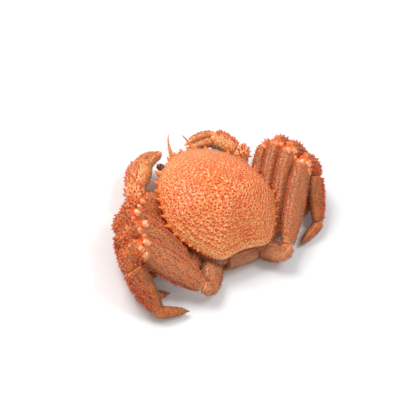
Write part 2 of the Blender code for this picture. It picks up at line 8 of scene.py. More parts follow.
import bmesh
import bpy
import numpy as np
from mathutils import Matrix, Vector
from mathutils.kdtree import KDTree


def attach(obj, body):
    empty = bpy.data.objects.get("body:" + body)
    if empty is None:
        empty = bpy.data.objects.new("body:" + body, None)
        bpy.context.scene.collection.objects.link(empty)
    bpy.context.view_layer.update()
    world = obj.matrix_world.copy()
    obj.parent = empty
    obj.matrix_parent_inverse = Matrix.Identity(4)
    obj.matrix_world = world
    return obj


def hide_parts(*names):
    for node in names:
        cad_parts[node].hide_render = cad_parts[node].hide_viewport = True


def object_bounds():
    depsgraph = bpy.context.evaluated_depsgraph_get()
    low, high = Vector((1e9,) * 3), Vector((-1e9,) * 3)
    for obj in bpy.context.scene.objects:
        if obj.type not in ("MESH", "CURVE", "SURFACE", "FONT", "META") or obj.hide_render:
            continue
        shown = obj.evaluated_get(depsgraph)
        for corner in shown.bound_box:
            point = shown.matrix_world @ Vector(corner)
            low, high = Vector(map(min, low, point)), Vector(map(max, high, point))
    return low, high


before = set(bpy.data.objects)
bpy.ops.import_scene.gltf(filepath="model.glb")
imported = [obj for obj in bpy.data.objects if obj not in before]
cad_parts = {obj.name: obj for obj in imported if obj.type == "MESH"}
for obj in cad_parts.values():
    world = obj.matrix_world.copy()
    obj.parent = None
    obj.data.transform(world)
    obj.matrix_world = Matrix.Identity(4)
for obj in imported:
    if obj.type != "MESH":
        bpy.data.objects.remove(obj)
cad_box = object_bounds()
print("frame nodes:", len(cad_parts))

# %% [markdown]
# The object is a boiled horsehair crab with its legs folded beside it. The head points to -Y, the
# crab's left side to +X, and it stands on the floor at z = 0. All lengths below are written in
# millimetres and turned into metres with MM. One random generator with a fixed seed feeds every
# scattered thing, so the crab comes out the same each time.

# %% Units and the shared random numbers
MM = 0.001
GAP = 0.3 * MM
SEED = 7
UP = Vector((0, 0, 1))
draw = np.random.default_rng(SEED)
SIDES = {"left": 1, "right": -1}

# %% [markdown]
# The camera looks down on the crab's left rear quarter and is rolled a little, so the crab lies
# turned in the picture. A long lens keeps the perspective flat. The three axes of the camera are
# worked out from azimuth, elevation and roll, so each can be changed on its own. An empty to track
# would also aim the camera, but it leaves the roll harder to set.

# %% Camera
CAMERA_AZIMUTH = math.radians(127.6)
CAMERA_ELEVATION = math.radians(49.1)
CAMERA_ROLL = math.radians(-26.6)
CAMERA_TARGET = Vector((7.2, 1.2, 22.4)) * MM
CAMERA_DISTANCE = 1.0
LENS = 106.44
SENSOR = 36

back = Vector((math.sin(CAMERA_AZIMUTH) * math.cos(CAMERA_ELEVATION),
               -math.cos(CAMERA_AZIMUTH) * math.cos(CAMERA_ELEVATION), math.sin(CAMERA_ELEVATION)))
level_up = (UP - back * back.z).normalized()
level_right = level_up.cross(back)
camera_up = level_up * math.cos(CAMERA_ROLL) + level_right * math.sin(CAMERA_ROLL)
camera_right = camera_up.cross(back)
camera_data = bpy.data.cameras.new("camera")
camera_data.lens = LENS
camera_data.sensor_width = SENSOR
camera = bpy.data.objects.new("camera", camera_data)
bpy.context.scene.collection.objects.link(camera)
camera.matrix_world = Matrix.Translation(CAMERA_TARGET + back * CAMERA_DISTANCE) @ Matrix(
    (camera_right, camera_up, back)).transposed().to_4x4()
bpy.context.scene.camera = camera
print("camera at", [round(v, 3) for v in camera.matrix_world.translation])

# %% [markdown]
# The light on the crab is broad and soft, and most of it comes from above the head. A big plane
# serves as the floor, one large lamp as the key, a second as a weak fill, and a pale
# sky lifts the shadows. Big lamps give the small wet highlights on the shell their soft edge.

# %% Floor, lamps and sky
FLOOR_SIZE = 6
FLOOR_COLOUR = (0.92, 0.92, 0.91)
LAMPS = [("key", (0.45, -0.75, 1.05), 0.7, 15.5), ("fill", (0.3, 1.1, 0.8), 0.9, 3),
         ("top", (-0.5, 0.1, 1.2), 0.5, 4)]
SKY = (0.95, 0.97, 1.0)
SKY_STRENGTH = 0.42

floor_form = bmesh.new()
bmesh.ops.create_grid(floor_form, x_segments=1, y_segments=1, size=FLOOR_SIZE / 2)
floor_mesh = bpy.data.meshes.new("floor")
floor_form.to_mesh(floor_mesh)
floor_form.free()
floor = bpy.data.objects.new("floor", floor_mesh)
bpy.context.scene.collection.objects.link(floor)
floor_finish = bpy.data.materials.new("floor_finish")
floor_finish.use_nodes = True
floor_finish.node_tree.nodes["Principled BSDF"].inputs["Base Color"].default_value = (*FLOOR_COLOUR, 1)
floor_finish.node_tree.nodes["Principled BSDF"].inputs["Roughness"].default_value = 0.9
floor_mesh.materials.append(floor_finish)

for lamp_name, place, size, power in LAMPS:
    lamp_data = bpy.data.lights.new(lamp_name, "AREA")
    lamp_data.size = size
    lamp_data.energy = power
    lamp = bpy.data.objects.new(lamp_name, lamp_data)
    lamp.location = place
    lamp.rotation_euler = (-Vector(place)).to_track_quat("-Z", "Y").to_euler()
    bpy.context.scene.collection.objects.link(lamp)

world = bpy.data.worlds.new("sky")
world.use_nodes = True
world.node_tree.nodes["Background"].inputs["Color"].default_value = (*SKY, 1)
world.node_tree.nodes["Background"].inputs["Strength"].default_value = SKY_STRENGTH
bpy.context.scene.world = world
bpy.context.scene.view_settings.view_transform = "Standard"
print("lamps:", len(LAMPS))

# %% [markdown]
# Every surface of the crab is painted with procedural nodes, never with a picture. The small
# class below keeps that readable: each method adds one node and returns its output, so a finish
# reads as a short recipe. Patterns use Object coordinates in metres, since the pieces all sit at
# the origin and the pattern then runs on from one piece to the next.


# %% A helper for procedural finishes
class Finish:
    """A Principled material whose colour and bump are built up node by node."""

    def __init__(self, name, roughness=0.4, coat=0.0, coat_roughness=0.2, subsurface=0.0):
        self.material = bpy.data.materials.new(name)
        self.material.use_nodes = True
        self.tree = self.material.node_tree
        self.shader = self.tree.nodes["Principled BSDF"]
        self.shader.inputs["Roughness"].default_value = roughness
        self.shader.inputs["Coat Weight"].default_value = coat
        self.shader.inputs["Coat Roughness"].default_value = coat_roughness
        self.shader.inputs["Subsurface Weight"].default_value = subsurface
        self.shader.inputs["Subsurface Scale"].default_value = 2 * MM
        self.place = self.tree.nodes.new("ShaderNodeTexCoord").outputs["Object"]

    def add(self, kind, links, **settings):
        """Add one node, link its inputs, and return the node."""
        made = self.tree.nodes.new(kind)
        for key, value in settings.items():
            setattr(made, key, value)
        for key, value in links.items():
            if isinstance(value, bpy.types.NodeSocket):
                self.tree.links.new(value, made.inputs[key])
            else:
                made.inputs[key].default_value = value
        return made

    def noise(self, size, detail=3.0, roughness=0.55):
        """Cloudy noise whose blobs are about the given size in metres."""
        links = {"Vector": self.place, "Scale": 1 / size, "Detail": detail, "Roughness": roughness}
        return self.add("ShaderNodeTexNoise", links).outputs["Fac"]

    def value(self, name):
        """A number kept on the points of the mesh."""
        return self.add("ShaderNodeAttribute", {}, attribute_name=name).outputs["Fac"]

    def span(self, value, low, high):
        """Stretch a value so that low becomes 0 and high becomes 1."""
        links = {"Value": value, "From Min": low, "From Max": high}
        return self.add("ShaderNodeMapRange", links, interpolation_type="SMOOTHSTEP").outputs["Result"]

    def times(self, a, b):
        """The product of two values."""
        return self.add("ShaderNodeMath", {0: a, 1: b}, operation="MULTIPLY").outputs[0]

    def blend(self, share, first, second):
        """Mix two colours by a share from 0 to 1."""
        def colour(c):
            return c if isinstance(c, bpy.types.NodeSocket) else (*c, 1)
        links = {0: share, 6: colour(first), 7: colour(second)}
        return self.add("ShaderNodeMix", links, data_type="RGBA").outputs[2]

    def near(self, centre, radius):
        """One inside a ball round a place, falling to zero at its radius."""
        links = {0: self.place, 1: centre}
        away = self.add("ShaderNodeVectorMath", links, operation="DISTANCE").outputs["Value"]
        return self.span(away, radius, radius * 0.3)

    def paint(self, colour):
        """Use a colour as the surface colour."""
        self.tree.links.new(colour, self.shader.inputs["Base Color"])

    def bump(self, height, depth, strength=1.0):
        """Use a value as fine relief."""
        made = self.add("ShaderNodeBump", {"Height": height, "Distance": depth, "Strength": strength})
        self.tree.links.new(made.outputs["Normal"], self.shader.inputs["Normal"])


# %% [markdown]
# The colours come from how a boiled crab looks: orange-red shell, cream where the tubercles
# stand, browner legs under their bristles, and dark glossy eyes. Each is named once here.

# %% Colours
ORANGE = (0.86, 0.19, 0.018)
DEEP_ORANGE = (0.74, 0.11, 0.010)
RED = (0.72, 0.058, 0.006)
CREAM = (0.96, 0.56, 0.22)
PALE_CREAM = (0.95, 0.68, 0.44)
PINK = (0.84, 0.33, 0.14)
AMBER = (0.83, 0.34, 0.05)
LEG_BROWN = (0.46, 0.13, 0.045)
LEG_DARK = (0.22, 0.05, 0.018)
BRISTLE_BROWN = (0.36, 0.10, 0.035)
BRISTLE_PALE = (0.96, 0.46, 0.19)
SETA_ORANGE = (0.93, 0.46, 0.17)
HORN = (0.30, 0.14, 0.07)
BLACK = (0.012, 0.009, 0.008)
SCARS = [(-16, 0, 53, 2.6), (11.8, 12.7, 53, 2.6), (33, 5, 46, 2.6), (24.5, -19.8, 46, 2.4),
         (11.4, -18.2, 51, 2.2)]


def with_scars(finish, colour, strength):
    """Lay the darker red muscle scars of the back over a colour."""
    for x, y, z, radius in SCARS:
        share = finish.times(finish.near(Vector((x, y, z)) * MM, radius * MM), strength)
        colour = finish.blend(share, colour, RED)
    return colour


def back_skin():
    """The shell of the back between its granules: orange with cream clouds and flecks, painted paler pink on
    the front as painted light where the key lamp falls.
    """
    finish = Finish("back_skin", roughness=0.5, coat=0.12)
    base = finish.blend(finish.span(finish.noise(12 * MM), 0.38, 0.58), ORANGE, DEEP_ORANGE)
    # Painted light: the front of the back, where the key lamp falls, is painted paler pink.
    base = finish.blend(finish.times(finish.value("front"), 0.4), base, PINK)
    flecks = finish.span(finish.noise(1.5 * MM, 2.0), 0.5, 0.6)
    base = finish.blend(finish.times(flecks, 0.9), base, CREAM)
    base = finish.blend(finish.value("rim"), base, CREAM)
    finish.paint(with_scars(finish, base, 0.7))
    finish.bump(finish.noise(0.7 * MM), 0.25 * MM, 0.7)
    return finish.material


def granule_shell(name, root, tip, point):
    """A spine or granule: pale at its foot, red to orange at its point."""
    finish = Finish(name, roughness=0.4, coat=0.25)
    height = finish.value("tip")
    colour = finish.blend(finish.span(height, 0.16, 0.36), root, tip)
    colour = finish.blend(finish.times(finish.span(height, 0.85, 1.0), point), colour, AMBER)
    colour = finish.blend(finish.times(finish.value("tone"), 0.3), colour, ORANGE)
    finish.paint(with_scars(finish, colour, 0.6) if name == "back_granule" else colour)
    return finish.material


def bristle_hair(name, root, tip):
    """Stiff short bristles: dark at the root, paler to the tip, each a little different."""
    finish = Finish(name, roughness=0.5)
    colour = finish.blend(finish.span(finish.value("tip"), 0.1, 0.9), root, tip)
    colour = finish.blend(finish.times(finish.value("tone"), 0.8), colour, LEG_DARK)
    finish.paint(colour)
    return finish.material


def limb_shell():
    """Leg shell: brown-orange, mottled, glossy red in the band beside each joint."""
    finish = Finish("limb_shell", roughness=0.42, coat=0.2)
    base = finish.blend(finish.span(finish.noise(6 * MM), 0.38, 0.62), LEG_BROWN, ORANGE)
    base = finish.blend(finish.span(finish.noise(1.5 * MM, 2.0), 0.52, 0.7), base, PINK)
    base = finish.blend(finish.value("pale"), base, PINK)
    red = finish.blend(finish.span(finish.noise(2.5 * MM), 0.42, 0.6), RED, ORANGE)
    base = finish.blend(finish.value("band"), base, red)
    finish.paint(finish.blend(finish.value("horn"), base, HORN))
    finish.bump(finish.noise(0.6 * MM), 0.2 * MM, 0.6)
    return finish.material


def claw_shell():
    """Claw shell: cream-pink with orange clouds."""
    finish = Finish("claw_shell", roughness=0.45, coat=0.15)
    base = finish.blend(finish.span(finish.noise(5 * MM), 0.4, 0.6), PINK, ORANGE)
    base = finish.blend(finish.span(finish.noise(1.6 * MM, 2.0), 0.5, 0.62), base, CREAM)
    base = finish.blend(finish.value("inner"), base, LEG_BROWN)
    finish.paint(base)
    finish.bump(finish.noise(0.6 * MM), 0.2 * MM, 0.6)
    return finish.material


def joint_skin():
    """The soft cream skin and knobs in the joints."""
    finish = Finish("joint_skin", roughness=0.3, coat=0.6, subsurface=0.1)
    base = finish.blend(finish.span(finish.noise(4 * MM), 0.4, 0.6), PINK, ORANGE)
    finish.paint(finish.blend(finish.span(finish.noise(3 * MM), 0.54, 0.66), base, PALE_CREAM))
    finish.bump(finish.noise(1.0 * MM), 0.15 * MM, 0.5)
    return finish.material


def belly_shell():
    """The pale underside of the body."""
    finish = Finish("belly_shell", roughness=0.5, coat=0.2)
    base = finish.blend(finish.span(finish.noise(9 * MM), 0.4, 0.6), PALE_CREAM, PINK)
    base = finish.blend(finish.span(finish.noise(2 * MM), 0.55, 0.7), base, LEG_BROWN)
    height = finish.add("ShaderNodeSeparateXYZ", {0: finish.place}).outputs["Z"]
    base = finish.blend(finish.times(finish.span(height, 2 * MM, 9 * MM), 0.85), base, LEG_BROWN)
    finish.paint(base)
    finish.bump(finish.noise(1.2 * MM), 0.3 * MM, 0.6)
    return finish.material


def plain_finish(name, first, second, size, roughness, coat):
    """Two colours in clouds, for small parts."""
    finish = Finish(name, roughness=roughness, coat=coat)
    finish.paint(finish.blend(finish.span(finish.noise(size), 0.4, 0.6), first, second))
    finish.bump(finish.noise(size * 0.2), 0.08 * MM, 0.4)
    return finish.material


BACK = back_skin()
LIMB = limb_shell()
CLAW = claw_shell()
JOINT = joint_skin()
BELLY = belly_shell()
BACK_GRANULE = granule_shell("back_granule", CREAM, RED, 0.0)
RIM_TOOTH = granule_shell("rim_tooth", ORANGE, ORANGE, 0.8)
LIMB_SPINE = granule_shell("limb_spine", CREAM, RED, 0.5)
CLAW_SPINE = granule_shell("claw_spine", PALE_CREAM, RED, 0.1)
BRISTLE = bristle_hair("bristle", BRISTLE_BROWN, BRISTLE_PALE)
PALE_SETA = bristle_hair("pale_seta", SETA_ORANGE, PALE_CREAM)
TOOTH = plain_finish("tooth", PALE_CREAM, CREAM, 2 * MM, 0.3, 0.5)
CORNEA = plain_finish("cornea", BLACK, LEG_DARK, 4 * MM, 0.12, 1.0)
STALK = plain_finish("stalk", ORANGE, AMBER, 2 * MM, 0.35, 0.4)
print("finishes:", len(bpy.data.materials))

# %% [markdown]
# Each limb piece is a rod: an oval section carried along a line or round a bend. The functions
# here give a point of that surface for a place along it and an angle round it. Both the shell and
# everything that grows on it use them, so the bristles always stand on the shell.


# %% Smooth curves and rods
def smooth(points, t):
    """Points of a smooth curve through the given rows, for an array of t from 0 to 1."""
    points = np.asarray(points, float)
    spans = len(points) - 1
    at = np.clip(np.asarray(t, float) * spans, 0, spans - 1e-9)
    i = at.astype(int)
    f = (at - i)[..., None]
    ends = np.vstack([2 * points[0] - points[1], points, 2 * points[-1] - points[-2]])
    p0, p1, p2, p3 = (ends[i + k] for k in range(4))
    return 0.5 * (2 * p1 + (p2 - p0) * f + (2 * p0 - 5 * p1 + 4 * p2 - p3) * f * f
                  + (3 * p1 - p0 - 3 * p2 + p3) * f ** 3)


def unit(vectors):
    """Vectors of length one."""
    return vectors / np.maximum(np.linalg.norm(vectors, axis=-1, keepdims=True), 1e-12)


def station(centre, wide, thick, half_width, half_thickness):
    """One ring of a rod as a row of numbers."""
    return [*centre, *wide, *thick, half_width, half_thickness]


def section_at(sections, t):
    """Half width and half thickness at t along a piece, in metres."""
    return smooth(sections, t) * MM


class Skin:
    """The outer surface of a rod-like piece, as a function of place along it and angle round it."""

    RESAMPLED = 72

    def __init__(self, rows, depth=0.5 * MM, squareness=2.35):
        fine = smooth(rows, np.linspace(0, 1, 240))
        steps = np.linalg.norm(np.diff(fine[:, :3], axis=0), axis=1)
        along = np.concatenate([[0], np.cumsum(steps)])
        self.length = along[-1]
        grid = np.linspace(0, self.length, self.RESAMPLED)
        self.rows = np.stack([np.interp(grid, along, fine[:, k]) for k in range(fine.shape[1])], 1)
        self.depth = depth
        self.squareness = squareness

    def at(self, t, angle):
        """Points of the surface."""
        t, angle = np.broadcast_arrays(t, angle)
        place = np.clip(t, 0, 1) * (self.RESAMPLED - 1)
        i = np.minimum(place.astype(int), self.RESAMPLED - 2)
        f = (place - i)[..., None]
        row = self.rows[i] * (1 - f) + self.rows[i + 1] * f
        c, s = np.cos(angle), np.sin(angle)
        full = (np.abs(c) ** self.squareness + np.abs(s) ** self.squareness) ** (-1 / self.squareness)
        half = np.maximum(row[..., 9:11] - self.depth, 0.12 * MM)
        return (row[..., :3] + row[..., 3:6] * (half[..., :1] * (c * full)[..., None])
                + row[..., 6:9] * (half[..., 1:] * (s * full)[..., None]))

    def frame(self, t, angle):
        """Points, outward normals and directions along the piece."""
        t, angle = np.broadcast_arrays(np.asarray(t, float), np.asarray(angle, float))
        points = self.at(t, angle)
        along = unit(self.at(np.minimum(t + 0.01, 1), angle) - self.at(np.maximum(t - 0.01, 0), angle))
        across = self.at(t, angle + 0.03) - self.at(t, angle - 0.03)
        out = unit(np.cross(across, along))
        middle = self.at(t, angle + math.pi)
        flip = np.sign(np.sum(out * (points - middle), axis=-1, keepdims=True))
        return points, out * flip, along

    def girth(self, t):
        """Rough distance round the piece."""
        half = self.rows[min(int(t * (self.RESAMPLED - 1)), self.RESAMPLED - 1), 9:11]
        return math.tau * math.sqrt((half[0] ** 2 + half[1] ** 2) / 2)


def rod_form(skin, around=24, rings=26):
    """A closed mesh of a skin, warped from a cylinder cut into rings."""
    form = bmesh.new()
    bmesh.ops.create_cone(form, cap_ends=True, segments=around, radius1=1, radius2=1, depth=rings)
    for cut in range(1, rings):
        geometry = form.verts[:] + form.edges[:] + form.faces[:]
        bmesh.ops.bisect_plane(form, geom=geometry, plane_co=(0, 0, cut - rings / 2), plane_no=UP)
    spots = np.array([vertex.co for vertex in form.verts])
    t = (spots[:, 2] + rings / 2) / rings
    t = 0.5 - 0.5 * np.cos(np.clip(t, 0, 1) * math.pi) if rings > 12 else t
    for vertex, place in zip(form.verts, skin.at(t, np.arctan2(spots[:, 1], spots[:, 0]))):
        vertex.co = place
    return form, t


# %% [markdown]
# A finished form becomes an object here. It sits at the origin with its place in its mesh, rides
# on the crab's one body, stands for its CAD node, and carries its finish. A Subdivision
# Surface rounds the coarse rings, as it does for most organic shapes.


# %% Turning forms into pieces of the crab
def add_piece(name, form, material, nodes=(), levels=1, marks=None):
    """Make a piece from a bmesh and tie it to the frame."""
    form.normal_update()
    bmesh.ops.recalc_face_normals(form, faces=form.faces)
    if form.calc_volume(signed=True) < 0:
        bmesh.ops.reverse_faces(form, faces=form.faces)
    mesh = bpy.data.meshes.new(name)
    form.to_mesh(mesh)
    form.free()
    for mark, values in (marks or {}).items():
        mesh.attributes.new(mark, "FLOAT", "POINT").data.foreach_set("value", np.asarray(values, np.float32))
    return place_piece(name, mesh, material, nodes, levels)


def place_piece(name, mesh, material, nodes=(), levels=0):
    """Link a mesh as a smooth-shaded piece that rides on the crab."""
    mesh.polygons.foreach_set("use_smooth", np.ones(len(mesh.polygons), bool))
    mesh.materials.append(material)
    piece = bpy.data.objects.new(name, mesh)
    bpy.context.scene.collection.objects.link(piece)
    if levels:
        rounding = piece.modifiers.new("rounding", "SUBSURF")
        rounding.levels = levels
        rounding.render_levels = levels
    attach(piece, "root")
    if nodes:
        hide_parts(*nodes)
    return piece


# %% [markdown]
# Granules, spines, bristles and hairs are all small pointed rods, thousands of them. Making them
# one by one would be slow, so they are computed together as arrays and joined into one mesh per
# region. Each keeps a number called tip, from 0 at its root to 1 at its point, and a random tone.
# The UV map gives each one a tiny patch at the place of its root on the unrolled shell, which is
# what the export needs to bake its colour.

# %% Growing many small things at once
PATCH = 0.0015
ROOM = (np.array(cad_box[0]) + 0.05 * MM, np.array(cad_box[1]) - 0.05 * MM)


class Coat:
    """Collects pointed growths and joins them into one mesh."""

    def __init__(self):
        self.points, self.triangles, self.tips, self.tones, self.uvs = [], [], [], [], []
        self.count = 0

    def grow(self, roots, ways, lengths, radii, uv, profile, sides=3, lean=None, bend=0.0, tone=None):
        """Add one growth at each root. profile lists (share of radius, share of length, tip value)."""
        number = len(roots)
        if not number:
            return
        ways = unit(ways)
        helper = np.where(np.abs(ways[:, 2:]) < 0.9, [[0, 0, 1.0]], [[1.0, 0, 0]])
        first = unit(np.cross(helper, ways))
        second = np.cross(ways, first)
        spin = draw.uniform(0, math.tau, number)
        lengths = np.broadcast_to(lengths, number)[:, None]
        radii = np.broadcast_to(radii, number)[:, None]
        lean = ways if lean is None else lean
        rings = []
        patch = []
        tips = []
        for share, height, tip in profile:
            centre = roots + ways * lengths * height + lean * lengths * bend * max(height, 0) ** 2
            corners = 1 if share == 0 else sides
            for k in range(corners):
                turn = spin + math.tau * k / sides
                c, s = np.cos(turn)[:, None], np.sin(turn)[:, None]
                rings.append(centre + (first * c + second * s) * radii * share)
                inward = PATCH * (1 - max(tip, 0))
                angle = math.tau * k / sides
                patch.append(uv + np.array([math.cos(angle), math.sin(angle)]) * inward)
                tips.append(np.full(number, tip))
        per = len(rings)
        faces = [(0, k + 1, k) for k in range(1, sides - 1)]
        for ring in range(len(profile) - 1):
            low = ring * sides
            high = low + sides
            for k in range(sides):
                after = (k + 1) % sides
                if profile[ring + 1][0] == 0:
                    faces.append((low + k, low + after, high))
                else:
                    faces.append((low + k, low + after, high + after))
                    faces.append((low + k, high + after, high + k))
        starts = (self.count + np.arange(number) * per)[:, None, None]
        self.triangles.append((np.array(faces)[None] + starts).reshape(-1, 3))
        self.points.append(np.stack(rings, 1).reshape(-1, 3))
        self.uvs.append(np.stack(patch, 1).reshape(-1, 2))
        self.tips.append(np.stack(tips, 1).reshape(-1))
        tone = draw.uniform(0, 1, number) if tone is None else tone
        self.tones.append(np.repeat(tone, per))
        self.count += number * per

    def piece(self, name, material, slot):
        """Join all growths into one piece with its bake map."""
        points = np.clip(np.concatenate(self.points), *ROOM)
        triangles = np.concatenate(self.triangles)
        uvs = np.concatenate(self.uvs)
        mesh = bpy.data.meshes.new(name)
        mesh.vertices.add(len(points))
        mesh.vertices.foreach_set("co", points.astype(np.float32).ravel())
        mesh.loops.add(triangles.size)
        mesh.loops.foreach_set("vertex_index", triangles.astype(np.int32).ravel())
        mesh.polygons.add(len(triangles))
        mesh.polygons.foreach_set("loop_start", np.arange(0, triangles.size, 3, dtype=np.int32))
        corner_uvs = uvs[triangles.ravel()].astype(np.float32).ravel()
        mesh.uv_layers.new(name="OFBake").data.foreach_set("uv", corner_uvs)
        for mark, values in (("tip", self.tips), ("tone", self.tones)):
            mesh.attributes.new(mark, "FLOAT", "POINT").data.foreach_set(
                "value", np.concatenate(values).astype(np.float32))
        mesh.update(calc_edges=True)
        mesh.validate()
        print(name, "triangles:", len(triangles))
        return place_piece(name, mesh, material)


GRANULE = [(1.2, -0.14, 0.0), (0.98, 0.06, 0.1), (0.76, 0.35, 0.42), (0.5, 0.8, 0.85), (0, 1.0, 1.0)]
SPINE = [(1.0, -0.15, 0.0), (0.66, 0.3, 0.4), (0.3, 0.75, 0.8), (0, 1.0, 1.0)]
BRISTLE_SHAPE = [(1.0, -0.06, 0.0), (0.62, 0.55, 0.55), (0, 1.0, 1.0)]


PLACE_JITTER = 0.42


def places_on(skin, spacing, first, last):
    """Staggered, jittered places in rows across a skin, as arrays of t and angle."""
    rows = max(1, round(skin.length * (last - first) / spacing))
    places = []
    angles = []
    for row in range(rows):
        t = first + (last - first) * (row + 0.5) / rows
        count = max(3, round(skin.girth(t) / spacing))
        k = np.arange(count) + 0.5 * (row % 2)
        places.append(t + draw.uniform(-PLACE_JITTER, PLACE_JITTER, count) * spacing / skin.length)
        angles.append((k + draw.uniform(-PLACE_JITTER, PLACE_JITTER, count)) * math.tau / count)
    return np.clip(np.concatenate(places), 0, 1), np.concatenate(angles)


STRIPS = 5


def strip_uv(t, angle, strip):
    """Unroll a skin into one strip of the bake map."""
    around = np.mod(angle, math.tau) / math.tau
    return np.stack([0.01 + 0.98 * t, (strip + 0.03 + 0.94 * around) / STRIPS], 1)


# %% [markdown]
# The carapace is a low rounded-square dome. Its rim is a smooth closed curve through a few
# measured points, and its height falls from the middle to the rim by a power law, with soft
# swellings and grooves for the regions of the back. The same curve shapes the CAD solid, so the
# finer shell lies on it.

# %% The form of the back
OUTLINE = [(0, -52, 29), (9, -51, 29.5), (18, -48, 30), (30, -40.5, 30), (40, -30, 30), (46.5, -15, 29.5),
           (50, 0, 28.5), (51, 11, 27.5), (47, 22, 26), (40, 33, 24.5), (32, 43, 23), (22, 49.5, 22.5),
           (10, 48.5, 23), (0, 47.5, 23.5)]
DOME_CENTRE = np.array([0, 2, 0]) * MM
DOME_TOP = 54.6 * MM
DOME_POWER_FRONT = 0.8
DOME_POWER_SIDE = 0.72
DOME_POWER_REAR = 0.95
REGIONS = [(0, -18, 13, 1.6), (0, 17, 9, 1.2), (26, 8, 15, 1.3), (22, -30, 9, 0.9), (11, 2, 5, -1.3),
           (0, 4, 5, -0.8), (17, -12, 5, -0.9), (0, -42, 6, -1.0)]
SEAM_HEIGHT = 22 * MM
SEAM_SLOPE = -0.035
SEAM_INSET = 0.965
OUTLINE_SAMPLES = 1440

left_rim = np.array(OUTLINE) * MM
whole_rim = np.vstack([left_rim, (left_rim * [-1, 1, 1])[-2:0:-1]])
ring = np.vstack([whole_rim[-2:], whole_rim, whole_rim[:3]])
curve = smooth(ring, np.linspace(0, 1, OUTLINE_SAMPLES))
curve_angle = np.unwrap(np.arctan2(curve[:, 0], DOME_CENTRE[1] - curve[:, 1]))
curve_angle -= math.tau * round(curve_angle[len(curve_angle) // 2] / math.tau - 0.5)


def rim_at(angle):
    """Points of the rim at angles from the front, round by the crab's left."""
    angle = np.mod(angle, math.tau)
    return np.stack([np.interp(angle, curve_angle, curve[:, k]) for k in range(3)], -1)


def relief(x, y):
    """How far the back swells or sinks."""
    rise = np.zeros(np.shape(x))
    for rx, ry, spread, height in REGIONS:
        for side in ((-1, 1) if rx else (1,)):
            rise = rise + height * np.exp(-((x / MM - side * rx) ** 2 + (y / MM - ry) ** 2) / spread ** 2)
    return rise * MM


def back_at(angle, share):
    """Points of the back at angles, a share of the way from the middle to the rim."""
    rim = rim_at(angle)
    share = np.broadcast_to(np.asarray(share, float), np.shape(rim)[:-1])[..., None]
    flat = DOME_CENTRE * (1 - share) + rim * [1, 1, 0] * share
    facing = np.cos(angle)[..., None]
    end_power = np.where(facing > 0, DOME_POWER_FRONT, DOME_POWER_REAR)
    power = DOME_POWER_SIDE + (end_power - DOME_POWER_SIDE) * facing ** 2
    rise = np.maximum(1 - share ** 2, 0) ** power
    swell = relief(flat[..., :1], flat[..., 1:2]) * np.minimum(1, 2.5 * (1 - share))
    height = rim[..., 2:] + (DOME_TOP - rim[..., 2:]) * rise + swell
    return np.concatenate([flat[..., :2], height], -1)


def back_frame(angle, share):
    """Points, outward normals and outward directions along the back."""
    points = back_at(angle, share)
    around = back_at(angle + 0.02, share) - back_at(angle - 0.02, share)
    outward = unit(back_at(angle, np.minimum(share + 0.01, 1)) - back_at(angle, np.maximum(share - 0.01, 0)))
    normal = unit(np.cross(outward, around))
    normal = normal * np.where(normal[..., 2:] < 0, -1, 1)
    return points, normal, outward


def seam_height(y):
    """Height of the seam between the carapace and the body below it."""
    return SEAM_HEIGHT + SEAM_SLOPE * y


print("rim from", rim_at(np.array([0.0])).round(4), "to", rim_at(np.array([math.pi])).round(4))

# %% [markdown]
# The carapace mesh is a sphere whose upper half is warped onto the dome and whose lower half is
# folded under as the flat seam. A thin raised bead follows the rear rim. The colour marks for the
# front, painted paler as painted light where the key lamp falls, and for the bead are kept on the
# points of the mesh.

# %% Carapace shell
BACK_SEGMENTS = 120
BACK_RINGS = 84
BEAD_HEIGHT = 0.5 * MM
BEAD_WIDTH = 0.022
BEAD_SHARE = 0.965


def carapace_form():
    """The closed shell of the back."""
    form = bmesh.new()
    bmesh.ops.create_uvsphere(form, u_segments=BACK_SEGMENTS, v_segments=BACK_RINGS, radius=1)
    spots = np.array([vertex.co for vertex in form.verts])
    angle = np.arctan2(spots[:, 0], -spots[:, 1])
    polar = np.arccos(np.clip(spots[:, 2], -1, 1)) / math.pi
    upper = polar <= 0.5 + 1e-6
    share = np.where(upper, np.sin(np.minimum(polar, 0.5) * math.pi), 1.0)
    top = back_at(angle, share)
    rear = np.clip(-np.cos(angle) * 1.6 + 0.35, 0, 1)
    bead = np.exp(-((share - BEAD_SHARE) / BEAD_WIDTH) ** 2) * rear
    top[:, 2] += BEAD_HEIGHT * bead * upper
    rim = rim_at(angle)
    inner = SEAM_INSET * np.clip((1 - polar) / 0.47, 0, 1)[:, None]
    under = DOME_CENTRE * (1 - inner) + rim * [1, 1, 0] * inner
    under[:, 2] = seam_height(under[:, 1])
    places = np.where(upper[:, None], top, under)
    for vertex, place in zip(form.verts, places):
        vertex.co = place
    # Painted light: this share paints the front of the back paler, where the key lamp falls.
    front = np.clip((-places[:, 1] / MM - 14) / 26, 0, 1) * upper
    return form, {"front": front, "rim": bead * upper * 0.55}


form, marks = carapace_form()
add_piece("carapace_shell", form, BACK, ["carapace"], levels=1, marks=marks)

# %% [markdown]
# The granules of the back are blunt cones, red-orange at the top and cream round the foot, set in
# rows that follow the rim and get less regular towards the middle. Between them stand smaller
# ones, and short pale bristles fill the rest, thickest on the front of the back.

# %% Granules and bristles of the back
GRANULE_SPACING = 3.0 * MM
GRANULE_RADIUS = 1.22 * MM
GRANULE_HEIGHT = 1.1 * MM
SMALL_SHARE = 0.42
BACK_RADIUS = 50 * MM
FRONT_LINE = -14 * MM
SETA_SPACING = 0.85 * MM
SETA_CLEARANCE = 0.62 * MM
SETAE_REAR = 0.3
SETAE_FRONT = 0.6


